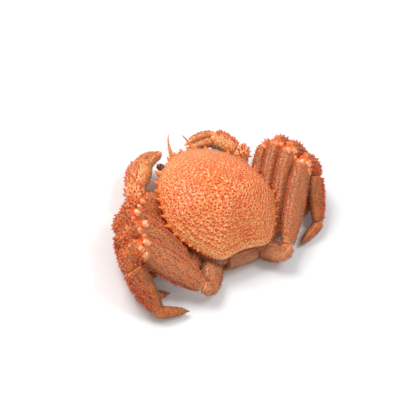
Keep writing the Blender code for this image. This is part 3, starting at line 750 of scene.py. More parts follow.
def back_places(spacing, first, last, jitter):
    """Places in rows that follow the rim, as arrays of angle and share."""
    shares = []
    angles = []
    rows = round((last - first) * BACK_RADIUS / spacing)
    for row in range(rows):
        share = first + (last - first) * (row + 0.5) / rows
        count = max(3, round(math.tau * share * BACK_RADIUS / spacing))
        loose = jitter * (1.15 - 0.7 * share)
        k = np.arange(count) + draw.uniform(0, 1)
        angles.append((k + draw.uniform(-loose, loose, count)) * math.tau / count)
        shares.append(share + draw.uniform(-loose, loose, count) * spacing / BACK_RADIUS)
    return np.concatenate(angles), np.clip(np.concatenate(shares), 0.005, 0.995)


def back_uv(angle, share):
    """Unroll the dome flat from its middle outwards."""
    return np.stack([0.5 + 0.48 * share * np.sin(angle), 0.5 - 0.48 * share * np.cos(angle)], 1)


granules = Coat()
angle, share = back_places(GRANULE_SPACING, 0.0, 0.985, 0.42)
points, normals, outward = back_frame(angle, share)
towards_front = np.clip((FRONT_LINE - points[:, 1]) / (26 * MM), 0, 1)
scale = (1 - 0.42 * towards_front) * draw.uniform(0.82, 1.15, len(points)) * (1 - 0.15 * share)
granule_feet = points
granules.grow(points, normals + outward * 0.15, GRANULE_HEIGHT * scale, GRANULE_RADIUS * scale,
              back_uv(angle, share), GRANULE, sides=8)
angle, share = back_places(GRANULE_SPACING * 0.62, 0.0, 0.985, 0.5)
points, normals, outward = back_frame(angle, share)
scale = SMALL_SHARE * draw.uniform(0.6, 1.1, len(points))
granules.grow(points, normals + outward * 0.1, GRANULE_HEIGHT * scale * 0.8, GRANULE_RADIUS * scale,
              back_uv(angle, share), GRANULE, sides=6)
granules.piece("back_granules", BACK_GRANULE, "shell")

setae = Coat()
angle, share = back_places(SETA_SPACING, 0.0, 0.99, 0.5)
points, normals, outward = back_frame(angle, share)
tree = KDTree(len(granule_feet))
for index, foot in enumerate(granule_feet):
    tree.insert(foot, index)
tree.balance()
away = np.array([tree.find(point)[2] for point in points])
pale_front = np.clip((FRONT_LINE - points[:, 1]) / (20 * MM), 0, 1)
clear = away > SETA_CLEARANCE * (1 - 0.5 * pale_front)
keep = clear & (draw.uniform(0, 1, len(points)) < SETAE_REAR + SETAE_FRONT * pale_front)
angle, share, points, normals, outward = (v[keep] for v in (angle, share, points, normals, outward))
setae.grow(points, normals + outward * 0.5 + draw.normal(0, 0.25, points.shape),
           draw.uniform(0.45, 0.85, len(points)) * MM, 0.14 * MM, back_uv(angle, share), BRISTLE_SHAPE,
           lean=outward, bend=0.3)
setae.piece("back_setae", PALE_SETA, "shell")

# %% [markdown]
# Teeth stand along the rim: two short ones between the eyes, strong ones at the eye and along the
# front side, and smaller ones to the rear. Between them run little denticles, so the edge looks
# sawn. They are grown like the granules, only longer and thinner.

# %% Teeth of the rim
RIM_TEETH = [(3.5, 3.4), (11, 3), (20, 3.2), (41, 5), (52, 3.8), (61, 3.6), (70, 4), (79, 3.8), (88, 4.2),
             (98, 4.8), (107, 3.4), (115, 2.6), (123, 2.4), (131, 2.2)]
TOOTH_RADIUS = 2.5 * MM
TOOTH_GROWTH = 1.2
TOOTH_LIFT = 0.25
TOOTH_LEAN = 0.35
DENTICLE_TURNS = (-150, 150, 2.3)
DENTICLE_RADIUS = 0.62 * MM
TOOTH_SHAPE = [(1.0, -0.4, 0.0), (0.84, 0.1, 0.2), (0.58, 0.45, 0.4), (0.26, 0.82, 0.8), (0, 1.0, 1.0)]


def rim_ways(turn, lift):
    """Directions out of the rim that lean to the front, with the given lift."""
    lean = TOOTH_LEAN * np.abs(np.sin(turn))
    return np.stack([np.sin(turn), -np.cos(turn) - lean, lift], 1)


teeth = Coat()
turn = np.radians([degrees * side for degrees, _ in RIM_TEETH for side in (-1, 1)])
length = np.array([length for _, length in RIM_TEETH for _ in (-1, 1)])
teeth.grow(rim_at(turn), rim_ways(turn, np.full(len(turn), TOOTH_LIFT)), length * TOOTH_GROWTH * MM,
           TOOTH_RADIUS * (0.55 + 0.09 * length), back_uv(turn, 0.99 + 0 * turn), TOOTH_SHAPE,
           sides=10, tone=np.full(len(turn), 0.4))
turn = np.radians(np.arange(*DENTICLE_TURNS))
turn = turn + draw.normal(0, 0.008, len(turn))
teeth.grow(rim_at(turn) - [0, 0, GAP], rim_ways(turn, draw.uniform(-0.2, 0.6, len(turn))),
           draw.uniform(0.9, 1.7, len(turn)) * MM, DENTICLE_RADIUS, back_uv(turn, 0.98 + 0 * turn),
           TOOTH_SHAPE, sides=7)
teeth.piece("rim_teeth", RIM_TOOTH, "shell")

# %% [markdown]
# Below the seam the body narrows to the flat belly that carries the crab. It could be cut from the
# back's own mesh, but the two are separate shells on a real crab, so it is a cylinder warped to shares
# of the same outline. The tail folds flat beneath it: a wide thin rod on a bent path, pinched at the
# joints of its rings.

# %% Body and folded tail
BODY_RINGS = [(21.5, 0.93), (16, 0.77), (8, 0.6), (2, 0.5), (0, 0.46)]
BODY_FRONT = -43 * MM
BODY_REAR_FILL = 0.27
BODY_SEGMENTS = 96
BODY_FINE = 20


def body_at(level, angle):
    """Points of the side of the body, level 0 at the seam and 1 at the belly."""
    height, share = np.moveaxis(smooth(BODY_RINGS, level), -1, 0)
    share = share + BODY_REAR_FILL * np.maximum(0, -np.cos(angle)) * np.clip(level * 4, 0, 1)
    rim = rim_at(angle)
    flat = DOME_CENTRE * (1 - share[..., None]) + rim * [1, 1, 0] * share[..., None]
    flat[..., 1] = np.maximum(flat[..., 1], BODY_FRONT)
    flat[..., 2] = np.where(level < 0.05, seam_height(flat[..., 1]) - GAP, np.maximum(height, 0) * MM)
    return flat


def body_form():
    """The closed body, from the seam to the belly."""
    form = bmesh.new()
    bmesh.ops.create_cone(form, cap_ends=True, segments=BODY_SEGMENTS, radius1=1, radius2=1, depth=BODY_FINE)
    for cut in range(1, BODY_FINE):
        geometry = form.verts[:] + form.edges[:] + form.faces[:]
        bmesh.ops.bisect_plane(form, geom=geometry, plane_co=(0, 0, cut - BODY_FINE / 2), plane_no=UP)
    spots = np.array([vertex.co for vertex in form.verts])
    level = 1 - (spots[:, 2] / BODY_FINE + 0.5)
    for vertex, place in zip(form.verts, body_at(level, np.arctan2(spots[:, 0], -spots[:, 1]))):
        vertex.co = place
    return form


add_piece("body_shell", body_form(), BELLY, ["thorax"], levels=0)

BODY_HAIR_ROWS = 30
BODY_HAIRS_AROUND = 320
HAIR_LEVELS = (0.02, 0.8)

body_hair = Coat()
level, angle = np.meshgrid(np.linspace(*HAIR_LEVELS, BODY_HAIR_ROWS),
                           np.linspace(0, math.tau, BODY_HAIRS_AROUND, endpoint=False))
level = np.clip(level.ravel() + draw.uniform(-0.014, 0.014, level.size), 0.012, 0.9)
angle = angle.ravel() + draw.uniform(-0.01, 0.01, angle.size)
points = body_at(level, angle)
down = unit(body_at(np.minimum(level + 0.03, 1), angle) - points)
around = body_at(level, angle + 0.02) - body_at(level, angle - 0.02)
normals = unit(np.cross(around, down))
normals *= np.sign(np.sum(normals * (points - DOME_CENTRE - [0, 0, 10 * MM]), 1, keepdims=True))
uv = np.stack([angle / math.tau, level], 1)
body_hair.grow(points, normals * 0.6 - down * 0.2 + draw.normal(0, 0.2, points.shape),
               draw.uniform(1.2, 2.4, len(points)) * MM, 0.17 * MM, uv, BRISTLE_SHAPE, lean=down, bend=0.5)
PATH_RINGS = 24


def path_rows(points, thick, sections):
    """Rows of a rod that follows a smooth path."""
    points = np.asarray(points, float) * MM
    rows = []
    for t in (i / (PATH_RINGS - 1) for i in range(PATH_RINGS)):
        ahead = smooth(points, min(t + 0.02, 1)) - smooth(points, max(t - 0.02, 0))
        wide = unit(np.cross(ahead, thick))
        across = unit(np.cross(wide, ahead))
        rows.append(station(smooth(points, t), wide, across, *section_at(sections, t)))
    return rows


ABDOMEN_PATH = [(0, 47, 18.6), (0, 52, 14.5), (0, 50, 7), (0, 38, 1.8), (0, 18, 1.2), (0, -8, 1.2)]
ABDOMEN_SECTIONS = [(14, 1.7), (16, 1.9), (15.5, 1.9), (13, 1.8), (9.5, 1.7), (3, 1.7)]
tail = Skin(path_rows(ABDOMEN_PATH, (0, 0.6, 0.8), ABDOMEN_SECTIONS), depth=0.15 * MM, squareness=3)
TAIL_JOINTS = 6


def tail_form():
    """The folded tail, pinched at the joints of its rings."""
    form, t = rod_form(tail, 28, 60)
    middle = tail.at(t, 0) * 0.5 + tail.at(t, math.pi) * 0.5
    pinch = 1 - 0.1 * np.exp(-(((t * TAIL_JOINTS) % 1 - 0.5) / 0.12) ** 2)
    for vertex, centre, keep in zip(form.verts, middle, pinch):
        centre = Vector(centre)
        vertex.co = centre + (vertex.co - centre) * keep
        vertex.co.z = max(vertex.co.z, 0)
    return form


add_piece("tail_shell", tail_form(), BELLY, ["abdomen"], levels=0)

# %% [markdown]
# A folded leg has five pieces: the root piece, the long upper piece, the knee, the long lower
# piece and the pointed end. The knee is a tight bend whose rings fan about a pivot beside the
# inner corner. The same driving points as in the CAD fix each leg, so the shells lie in place.

# %% Folds and hooks of the limbs
FOLD_START = math.radians(28)
FOLD_CLEARANCE = 0.6 * MM
CHAMFER = 1.2 * MM
END_SHARE = 0.86
BEND_RINGS = 4
REACH_RINGS = 3


def straight_rows(start, end, thick, sections, size=1.0, rings=5):
    """Rows of a straight rod with chamfered ends."""
    along = (end - start).normalized()
    wide = along.cross(thick).normalized()
    chamfer = CHAMFER / (end - start).length
    rows = []
    for step in [0, chamfer] + [i / (rings - 1) for i in range(1, rings - 1)] + [1 - chamfer, 1]:
        half_width, half_thickness = section_at(sections, step) * size
        inset = END_SHARE if step in (0, 1) else 1.0
        rows.append(station(start.lerp(end, step), wide, thick, half_width * inset, half_thickness * inset))
    return rows


class Fold:
    """A tight bend whose rings fan about the inner corner between two long pieces."""

    def __init__(self, start, way, far_end, thick, near_width, far_width):
        inner = far_end - start
        inner -= way * inner.dot(way)
        inner = (inner - thick * inner.dot(thick)).normalized()
        self.thick = thick
        self.pivot = start + inner * near_width
        self.spoke = -inner
        self.axis = self.spoke.cross(way).normalized()
        self.side = 1 if self.spoke.dot(way.cross(thick)) > 0 else -1
        self.radii = (near_width, far_width)
        end = self.pivot + inner * far_width
        for _ in range(8):
            far_way = (far_end - end).normalized()
            end = self.pivot + far_way.cross(self.axis) * far_width
        self.end = end
        self.far_way = far_way
        self.turn = way.angle(far_way)

    def row(self, angle, share, sections, size, inset=1.0, push=0.0):
        """The ring at an angle of the fan, a share of the way along the sections."""
        spoke = Matrix.Rotation(angle, 3, self.axis) @ self.spoke
        way = self.axis.cross(spoke)
        reach = self.radii[0] + (self.radii[1] - self.radii[0]) * angle / self.turn
        half_width, half_thickness = section_at(sections, share) * size
        reach = max(reach, half_width + FOLD_CLEARANCE)
        centre = self.pivot + spoke * reach + way * push
        return station(centre, spoke, self.thick, half_width * inset, half_thickness * inset)

    def rows(self, first_angle, sections, size=1.0, rings=6):
        """The rings of the bend from an angle of the fan to its end."""
        made = []
        for i in range(rings):
            angle = first_angle + (self.turn - first_angle) * i / (rings - 1)
            push = GAP if i == 0 else -GAP if i == rings - 1 else 0
            inset = END_SHARE if i in (0, rings - 1) else 1.0
            made.append(self.row(angle, i / (rings - 1), sections, size, inset, push))
        return made


def hooked_rows(start, way, tip, thick, sections, size=1.0):
    """Rows of a piece that bends at its start and runs on straight to its tip."""
    own_thick = way.cross(tip - start).normalized()
    if own_thick.dot(thick) < 0:
        own_thick.negate()
    near_width = sections[0][0] * size * MM + FOLD_CLEARANCE
    fold = Fold(start, way, tip, own_thick, near_width, near_width)
    bend = near_width * fold.turn
    bend_share = bend / (bend + (tip - fold.end).length)
    made = []
    for i in range(BEND_RINGS):
        f = i / (BEND_RINGS - 1)
        inset = END_SHARE if i == 0 else 1.0
        made.append(fold.row(fold.turn * f, bend_share * f, sections, size, inset, 0 if i else GAP))
    centre, wide, across = (Vector(made[-1][k:k + 3]) for k in (0, 3, 6))
    for i in range(1, REACH_RINGS + 1):
        f = i / REACH_RINGS
        half_width, half_thickness = section_at(sections, bend_share + (1 - bend_share) * f) * size
        made.append(station(centre.lerp(tip, f), wide, across, half_width, half_thickness))
    return made


def long_rows(start, end, fold, sections, size):
    """Rows of a rod from start to a slanted end where a fold begins."""
    rows = straight_rows(start, end, fold.thick, sections, size, 6)[:-2]
    for share, inset in ((0.8, 1.0), (1.0, END_SHARE)):
        ring = fold.row(FOLD_START * share, 1, sections, size, inset)
        rows.append(ring[:3] + [v * fold.side for v in ring[3:6]] + ring[6:])
    return rows


print("fold helpers ready")

# %% [markdown]
# Each leg shell is a smooth rod. Beside the knee the shell is bare and red, and cream knobs stand in
# the joint itself. Everything else is clothed in short stiff bristles that point to the leg's end,
# with rows of red-tipped spines along its edges and on the knee.

# %% Leg sizes
LEGS = {
    "left_leg4": [(46, 60, 14), (85, 27, 35.5), (89, 64, 9), (62, 73, 4)],
    "left_leg3": [(48, 38, 15), (77, 11, 34), (94, 45, 8), (68, 53, 4)],
    "left_leg2": [(48, 18, 13), (75, -3, 30.5), (92, 27, 7.5), (66, 34, 4)],
    "left_leg1": [(45, -2, 12), (62, -15, 25), (78, 8, 7), (54, 16, 4)],
    "right_leg4": [(-43, 53, 16), (-85, 1, 35), (-89, 39, 9), (-62, 52, 4)],
    "right_leg3": [(-48, 32, 14), (-83, -16, 32), (-94, 17, 8), (-66, 30, 4)],
    "right_leg2": [(-48, 13, 13), (-79, -28, 28), (-93, -2, 7), (-64, 12, 4)],
    "right_leg1": [(-46, 0, 12), (-73, -33, 21), (-86, -14, 7), (-60, -3, 4)],
}
COXA_ROOTS = {"leg4": (20, 38, 10), "leg3": (24, 22, 9), "leg2": (26, 8, 9), "leg1": (24, -5, 9)}
LEG_SIZE = {"leg4": 1.0, "leg3": 1.0, "leg2": 0.95, "leg1": 0.86}
COXA_SECTIONS = [(6.2, 4.3), (6.6, 4.8), (7, 5.5), (6.5, 5.5)]
REAR_COXA_SECTIONS = [(6.2, 4.3), (8.2, 5.2), (9.6, 6.2), (9.6, 6.4)]
MERUS_SECTIONS = [(6.4, 4.3), (9.2, 5), (10.8, 5.3), (10.8, 5.3), (9.4, 5.2)]
CARPUS_SECTIONS = [(9.4, 5.2), (9.2, 5.5), (9.4, 5.5), (8.8, 5.3), (8.2, 5)]
PROPODUS_SECTIONS = [(8.2, 5), (9, 5.1), (8.6, 4.9), (7.2, 4.3), (5.4, 3.8)]
DACTYL_SECTIONS = [(5.2, 3.7), (4.6, 3.5), (4, 3.2), (2.8, 2.4), (0.5, 0.5)]


def leg_skins(name):
    """The five skins of one leg, from the root piece to the pointed end, and its fold."""
    base, merus_end, ankle, tip = (Vector(point) * MM for point in LEGS[name])
    side, row = name.split("_")
    size = LEG_SIZE[row]
    thick = (merus_end - base).cross(ankle - merus_end).normalized()
    if thick.z < 0:
        thick.negate()
    way = (merus_end - base).normalized()
    near_width = MERUS_SECTIONS[-1][0] * size * MM + FOLD_CLEARANCE
    far_width = PROPODUS_SECTIONS[0][0] * size * MM + FOLD_CLEARANCE
    fold = Fold(merus_end, way, ankle, thick, near_width, far_width)
    root = Vector(COXA_ROOTS[row]) * MM
    root.x *= SIDES[side]
    coxa_sections = REAR_COXA_SECTIONS if row == "leg4" else COXA_SECTIONS
    return {
        "coxa": Skin(hooked_rows(base, -way, root, thick, coxa_sections, size)),
        "merus": Skin(long_rows(base, merus_end, fold, MERUS_SECTIONS, size)),
        "carpus": Skin(fold.rows(FOLD_START, CARPUS_SECTIONS, size)),
        "propodus": Skin(straight_rows(fold.end, ankle, thick, PROPODUS_SECTIONS, size)),
        "dactyl": Skin(hooked_rows(ankle, fold.far_way, tip, thick, DACTYL_SECTIONS, size), depth=0.3 * MM),
    }, fold


print("legs planned:", len(LEGS))

# %% [markdown]
# The coat of a real limb stands in small tufts, and light catches one tuft more than the next. Here the
# bristles are grown evenly, and each one takes its lift and its shade from the tuft it falls in. Spines
# stand in rows, so they are grown along lines of equal angle.

# %% Bristles and spines of the limbs
CLUMP_LENGTH = 2.4 * MM
CLUMP_WIDTH = 2.2 * MM
CLUMP_MIX = (12.99, 78.23, 3.1, 437.58)


def grow_bristles(coat, skin, strip, spacing, length, radius, first, last, lift=0.55, dark=1.0):
    """Cover part of a skin with bristles that point along it. Sizes are in millimetres."""
    t, angle = places_on(skin, spacing * MM, first, last)
    points, normals, along = skin.frame(t, angle)
    row = np.floor(t * skin.length / CLUMP_LENGTH)
    column = np.floor(angle * skin.girth(0.5) / math.tau / CLUMP_WIDTH + 0.5 * (row % 2))
    mix = np.sin(row * CLUMP_MIX[0] + column * CLUMP_MIX[1] + strip * CLUMP_MIX[2]) * CLUMP_MIX[3]
    clump = np.mod(mix, 1)
    ways = normals * lift * (0.6 + 0.8 * clump[:, None]) + along * 0.8 + draw.normal(0, 0.16, points.shape)
    lengths = length * MM * draw.uniform(0.7, 1.2, len(points))
    tone = np.clip(clump + draw.normal(0, 0.12, len(points)), 0, 1) * dark
    coat.grow(points, ways, lengths, radius * MM, strip_uv(t, angle, strip), BRISTLE_SHAPE,
              lean=along, bend=0.25, tone=tone)


def grow_spines(coat, skin, strip, angles, first, last, spacing, length, radius, lean=0.5, sides=7):
    """Grow rows of spines at given angles of a skin. Sizes are in millimetres."""
    for row, centre in enumerate(angles):
        count = max(2, round(skin.length * (last - first) / (spacing * MM)))
        steps = np.arange(count) + 0.5 * (row % 2) + draw.uniform(-0.2, 0.2, count)
        t = np.clip(first + (last - first) * steps / count, 0, 1)
        angle = centre + draw.normal(0, 0.07, count)
        points, normals, along = skin.frame(t, angle)
        scale = draw.uniform(0.75, 1.15, count)
        coat.grow(points, normals + along * lean, length * MM * scale, radius * MM * scale,
                  strip_uv(t, angle, strip), SPINE, sides=sides)


grow_bristles(body_hair, tail, 0, 1.1, 2.3, 0.19, 0.01, 0.5, lift=0.9, dark=0.85)
body_hair.piece("body_hair", BRISTLE, "underside")

# %% [markdown]
# On the real crab the two halves of a knee turn on smooth, bare knobs, paler than the shell about them.
# Each knob is a ball flattened along the normal of the shell and sunk halfway into it.

# %% Knobs of the knees
KNOB_SEGMENTS = 18
KNOB_RINGS = 12
KNOBS = [("merus", 0.955, 56, 3.4), ("merus", 0.955, 122, 3.3), ("carpus", 0.11, 90, 3.2)]
KNOB_FLAT = 0.55
INNER_KNOB = ("merus", 0.94, 0.35, 1.9)


def knob_forms(skins, size, inner):
    """Smooth cream and orange knobs that stand on the joint of the knee."""
    form = bmesh.new()
    places = [(part, t, math.radians(turn), radius) for part, t, turn, radius in KNOBS]
    part, t, share, radius = INNER_KNOB
    places.append((part, t, inner + (0.5 * math.pi - inner) * share, radius))
    for part, t, angle, radius in places:
        point, normal, along = skins[part].frame(t, angle)
        ball = bmesh.ops.create_uvsphere(form, u_segments=KNOB_SEGMENTS, v_segments=KNOB_RINGS, radius=1)
        turn = Vector(normal).to_track_quat("Z", "Y").to_matrix().to_4x4()
        across = radius * size * MM
        stretch = Matrix.Diagonal((across, across, radius * size * KNOB_FLAT * MM, 1))
        place = Matrix.Translation(Vector(point)) @ turn @ stretch
        bmesh.ops.transform(form, matrix=place, verts=ball["verts"])
    return form


print("knobs per knee:", len(KNOBS) + 1)

# %% [markdown]
# Now each leg is built from its plan: five shells, the knobs, one coat of bristles and one of spines. The
# two tables say where the growths stand. Their numbers are part, spacing, length, radius, first and last
# place along the part, and then the lift and darkness of bristles, or the lean of spines and their rows
# in degrees. Spines of the lower piece are counted from the edge that faces out of the fold.

# %% Build the legs
LEG_BRISTLES = [("coxa", 1.1, 2.3, 0.2, 0.02, 0.9, 1.1, 0.85),
                ("merus", 1.05, 1.8, 0.18, 0.02, 0.93, 0.6, 0.75),
                ("carpus", 1.05, 1.7, 0.18, 0.24, 0.98, 0.6, 1.0),
                ("propodus", 1.0, 1.8, 0.18, 0.03, 0.98, 0.5, 1.0),
                ("dactyl", 1.0, 1.6, 0.16, 0.03, 0.84, 0.45, 1.0)]
LEG_SPINES = [("coxa", 3.0, 1.7, 0.8, 0.05, 0.5, 0.5, [0, 45, 90, 135, 180]),
              ("merus", 2.0, 2.9, 1.0, 0.1, 0.94, 0.35, [0, 180]),
              ("merus", 2.9, 1.8, 0.85, 0.08, 0.93, 0.5, [30, 60, 90, 120, 150]),
              ("carpus", 2.2, 2.7, 1.0, 0.2, 0.96, 0.3, [-75, -50, -28, -9, 9, 28, 50, 75, 100, 125]),
              ("propodus", 2.2, 2.6, 0.9, 0.04, 0.93, 0.35, [-78, -58, -38, -18, 0, 18, 38, 58, 78]),
              ("propodus", 2.6, 1.4, 0.5, 0.1, 0.9, 0.5, [180]),
              ("dactyl", 2.4, 0.9, 0.4, 0.1, 0.6, 0.5, [0, 180])]
PALE_SHARE = {"coxa": 0.7, "merus": 0.6}
FLOOR_CLEARANCE = 0.05 * MM


def leg_marks(part, t):
    """Shares of the red band, the horn tip and the pale colour on a leg piece."""
    none = 0 * t
    band = {"merus": np.clip((t - 0.93) / 0.04, 0, 1), "carpus": np.clip((0.2 - t) / 0.1, 0, 1)}
    horn = {"dactyl": np.clip((t - 0.72) / 0.12, 0, 1)}
    pale = PALE_SHARE.get(part, 0) + none
    return {"band": band.get(part, none), "horn": horn.get(part, none), "pale": pale}


for name in LEGS:
    skins, fold = leg_skins(name)
    strips = {part: strip for strip, part in enumerate(skins)}
    for part, skin in skins.items():
        form, t = rod_form(skin, 20, 22)
        for vertex in form.verts:
            vertex.co.z = max(vertex.co.z, FLOOR_CLEARANCE)
        add_piece(f"{name}_{part}_shell", form, LIMB, [f"{name}_{part}"], marks=leg_marks(part, t))
    inner = math.pi if Vector(skins["merus"].rows[-1, 3:6]).dot(fold.spoke) > 0 else 0.0
    knobs = knob_forms(skins, LEG_SIZE[name.split("_")[1]], inner)
    add_piece(f"{name}_knobs", knobs, JOINT, levels=0)
    hair = Coat()
    for part, spacing, length, radius, first, last, lift, dark in LEG_BRISTLES:
        grow_bristles(hair, skins[part], strips[part], spacing, length, radius, first, last, lift, dark)
    hair.piece(f"{name}_bristles", BRISTLE, "limb")
    spines = Coat()
    outward = 0.0 if Vector(skins["propodus"].rows[0, 3:6]).dot(fold.end - fold.pivot) > 0 else math.pi
    for part, spacing, length, radius, first, last, lean, turns in LEG_SPINES:
        angles = np.radians(turns) + (outward if part == "propodus" else 0.0)
        grow_spines(spines, skins[part], strips[part], angles, first, last, spacing, length, radius, lean)
    spines.piece(f"{name}_spines", LIMB_SPINE, "limb")
print("leg pieces:", len(LEGS) * len(strips))

# %% [markdown]
# Each claw folds forward in front of the head. Its broad outer face is cream and pink under rows
# of strong red spines, its inner face brown and hairy. The lower finger is one piece with the
# palm, and the upper finger closes on it. Both carry blunt cream teeth.

# %% Claw sizes
CLAWS = {
    "left": [(20, -20, 12), (49, -26, 17), (37, -58, 20), (14, -65, 19), (0.5, -0.45, 0.74)],
    "right": [(-20, -20, 12), (-44, -32, 21), (-36, -62, 24), (-10, -63, 19), (-0.25, -0.35, 0.9)],
}
ARM_SECTIONS = [(6, 5.5), (7, 6), (7.4, 6.2), (7, 6)]
CLAW_CARPUS_SECTIONS = [(7.2, 6), (8.2, 7), (8.8, 7.4), (8.4, 7), (7.4, 6.4)]
PALM_SECTIONS = [(7.4, 6.4), (9.6, 7.6), (10.6, 7.8), (10.2, 7.2), (9, 6.2)]
FINGER_SECTIONS = [(4.3, 4.8), (4, 4), (3, 3), (0.8, 0.8)]
FINGER_SPREAD = 4.7
FINGER_ROOT = 4
TIP_SPREAD = 1.5


def claw_skins(side):
    """The skins of one claw: arm, wrist, palm, lower finger and upper finger."""
    root, arm_end, hinge, tip = (Vector(point) * MM for point in CLAWS[side][:4])
    face = Vector(CLAWS[side][4])
    way = (arm_end - root).normalized()
    thick = way.cross(hinge - arm_end).normalized()
    if thick.z < 0:
        thick.negate()
    near_width = ARM_SECTIONS[-1][0] * MM + FOLD_CLEARANCE
    far_width = PALM_SECTIONS[0][0] * MM + FOLD_CLEARANCE
    fold = Fold(arm_end, way, hinge, thick, near_width, far_width)
    palm_way = fold.far_way
    face = (face - palm_way * face.dot(palm_way)).normalized()
    spread = (tip - hinge).cross(face).normalized()
    if spread.z < 0:
        spread.negate()
    start = (hinge - palm_way * FINGER_ROOT * MM) / MM
    fingers = []
    for way in (-spread, spread):
        path = [start + way * FINGER_SPREAD, hinge.lerp(tip, 0.3) / MM + way * FINGER_SPREAD,
                hinge.lerp(tip, 0.7) / MM + way * FINGER_SPREAD * 0.8, tip / MM + way * TIP_SPREAD]
        fingers.append(Skin(path_rows(path, face, FINGER_SECTIONS), depth=0.3 * MM))
    return {
        "arm": Skin(long_rows(root, arm_end, fold, ARM_SECTIONS, 1.0)),
        "carpus": Skin(fold.rows(FOLD_START, CLAW_CARPUS_SECTIONS), depth=0.1 * MM),
        "palm": Skin(straight_rows(fold.end, hinge, face, PALM_SECTIONS), depth=0.1 * MM),
        "lower": fingers[0],
        "finger": fingers[1],
    }, fold, spread, face


print("claws planned:", len(CLAWS))

# %% [markdown]
# The shells of the claws are made like those of the legs, with a mark of their own: the side that faces
# the mouth is brown. The table of bristles holds the first six numbers of that of the legs: part,
# spacing, length, radius, first and last place. The teeth of the two fingers stand on the edges that
# close on each other.

# %% Build the claws
CLAW_BRISTLES = [("arm", 1.1, 2.0, 0.17, 0.1, 0.95), ("carpus", 1.7, 1.6, 0.16, 0.05, 0.95),
                 ("palm", 1.5, 1.6, 0.16, 0.03, 0.95), ("lower", 1.2, 1.8, 0.15, 0.1, 0.75),
                 ("finger", 1.2, 1.8, 0.15, 0.1, 0.75)]
FINGER_TURNS = [30, 60, 90, 120, 150]
INNER_DEPTH = 5 * MM

for side in CLAWS:
    name = f"{side}_claw"
    skins, fold, spread, face = claw_skins(side)
    strips = {part: strip for strip, part in enumerate(skins)}
    for part, skin in skins.items():
        form, t = rod_form(skin, 24, 24)
        nodes = [f"{name}_{part}"] if part != "lower" else []
        middle = (skin.at(t, 0) + skin.at(t, math.pi)) / 2
        depth = (np.array([vertex.co for vertex in form.verts]) - middle) @ np.array(face)
        inner = np.clip(-depth / INNER_DEPTH, 0, 0.85) * (part in ("palm", "lower", "finger"))
        add_piece(f"{name}_{part}_shell", form, CLAW, nodes, marks={"inner": inner})
    hair = Coat()
    for part, *sizes in CLAW_BRISTLES:
        grow_bristles(hair, skins[part], strips[part], *sizes)
    hair.piece(f"{name}_bristles", BRISTLE, "claw")
    spines = Coat()
    fan = np.radians(np.arange(-100, 101, 22))
    grow_spines(spines, skins["carpus"], 1, fan, 0.06, 0.94, 2.4, 2.5, 1.05, lean=0.4)
    outer = 0.0 if Vector(skins["palm"].rows[0, 3:6]).dot(fold.end - fold.pivot) > 0 else math.pi
    fan = outer + np.radians(np.arange(-110, 111, 20))
    grow_spines(spines, skins["palm"], 2, fan, 0.05, 0.95, 2.4, 2.3, 1.0)
    bite = Coat()
    for part, towards in (("lower", 1), ("finger", -1)):
        edge = 0.0 if Vector(skins[part].rows[30, 3:6]).dot(spread) * towards > 0 else math.pi
        grow_spines(bite, skins[part], strips[part], (edge,), 0.38, 0.92, 2.2, 1.3, 0.95, lean=0.0, sides=9)
        grow_spines(spines, skins[part], strips[part], np.radians(FINGER_TURNS), 0.1, 0.6, 2.8, 1.0, 0.5)
    spines.piece(f"{name}_spines", CLAW_SPINE, "claw")
    bite.piece(f"{name}_teeth", TOOTH, "claw")
print("claw pieces:", len(CLAWS) * len(strips))

# %% [markdown]
# The face has two stalked eyes set in notches of the rim, a pair of long feelers with a short pair
# between them, and the outer mouthparts with their palps folded over the mouth below. All are rods
# along short paths. The eyes get their own dark, very glossy finish.

# %% Eyes, feelers and mouthparts
EYE_ROOT = (21, -40, 26.5)
EYE_END = (31, -46.5, 29)
EYE_SECTIONS = [(2.2, 2.2), (2.2, 2.2), (2.1, 2.1), (3, 3), (3.1, 3.1), (2, 2)]
ANTENNA_PATHS = {"left": [(11, -44, 24), (11.5, -54, 26), (10, -64, 30), (8, -70, 34)],
                 "right": [(-11, -44, 24), (-10.5, -54, 26), (-8, -62, 29), (-4, -66, 33)]}
ANTENNA_SECTIONS = [(2, 2), (1.7, 1.7), (0.8, 0.8), (0.35, 0.35)]
MOUTH_PATH = [(7, -45.5, 20), (7.4, -42.5, 14), (7, -37, 8), (5.5, -31.5, 3.5)]
MOUTH_SECTIONS = [(4.6, 2.4), (5.8, 2.8), (5.6, 2.8), (3.4, 1.8)]
PALP_PATH = [(9, -48.6, 20.5), (6.2, -49.4, 22), (3.4, -48.6, 20), (2.6, -47.4, 15)]
PALP_SECTIONS = [(1.7, 1.3), (1.9, 1.4), (1.6, 1.2), (0.7, 0.6)]
SHORT_FEELER_PATH = [(4.5, -46, 23.5), (5, -50, 24), (4.2, -53.5, 25.5), (3.6, -54.5, 28.5)]
SHORT_FEELER_SECTIONS = [(1.5, 1.5), (1.4, 1.4), (0.9, 0.9), (0.35, 0.35)]

CORNEA_START = 0.52
ROD_DEPTH = 0.05 * MM

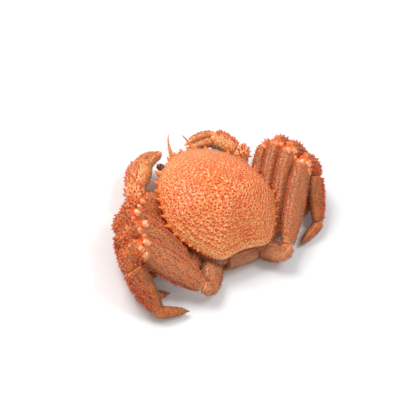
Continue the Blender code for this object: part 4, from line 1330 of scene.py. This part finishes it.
face_hair = Coat()
for side, sign in SIDES.items():
    mirror = np.array([sign, 1, 1])
    eye_rows = path_rows(np.array([EYE_ROOT, EYE_END]) * mirror, UP, EYE_SECTIONS)
    form, t = rod_form(Skin(eye_rows, depth=ROD_DEPTH, squareness=2), 20, 24)
    piece = add_piece(f"{side}_eye_shell", form, STALK, [f"{side}_eye"])
    piece.data.materials.append(CORNEA)
    for polygon in piece.data.polygons:
        reach = sum(t[v] for v in polygon.vertices) / len(polygon.vertices)
        polygon.material_index = int(reach > CORNEA_START)
    feeler = Skin(path_rows(ANTENNA_PATHS[side], UP, ANTENNA_SECTIONS), depth=ROD_DEPTH, squareness=2)
    form, t = rod_form(feeler, 12, 30)
    add_piece(f"{side}_antenna_shell", form, STALK, [f"{side}_antenna"])
    mouth = Skin(path_rows(np.array(MOUTH_PATH) * mirror, (0, -1, 0.3), MOUTH_SECTIONS), depth=0.2 * MM)
    form, t = rod_form(mouth, 20, 24)
    add_piece(f"{side}_mouthpart_shell", form, CLAW, [f"{side}_mouthpart"],
              marks={"inner": 0.3 + 0 * t})
    for part, path, sections, finish in (("palp", PALP_PATH, PALP_SECTIONS, CLAW),
                                         ("short_feeler", SHORT_FEELER_PATH, SHORT_FEELER_SECTIONS, STALK)):
        small_rows = path_rows(np.array(path) * mirror, (0, -0.3, 1), sections)
        small = Skin(small_rows, depth=ROD_DEPTH, squareness=2)
        form, t = rod_form(small, 14, 20)
        add_piece(f"{side}_{part}", form, finish, marks={"inner": 0.2 + 0 * t})
        grow_bristles(face_hair, small, 0, 0.8, 0.8, 0.09, 0.1, 0.9)
    grow_bristles(face_hair, feeler, 0, 1.0, 1.1, 0.1, 0.2, 0.9)
    grow_bristles(face_hair, mouth, 1, 1.0, 1.4, 0.13, 0.05, 0.95)
face_hair.piece("face_bristles", BRISTLE, "shell")

# %% [markdown]
# Last, the box of the CAD solids is printed. The coats were kept inside it when they were joined,
# so they reach no further than the CAD solids.

print("cad box", [tuple(round(v, 4) for v in corner) for corner in cad_box])
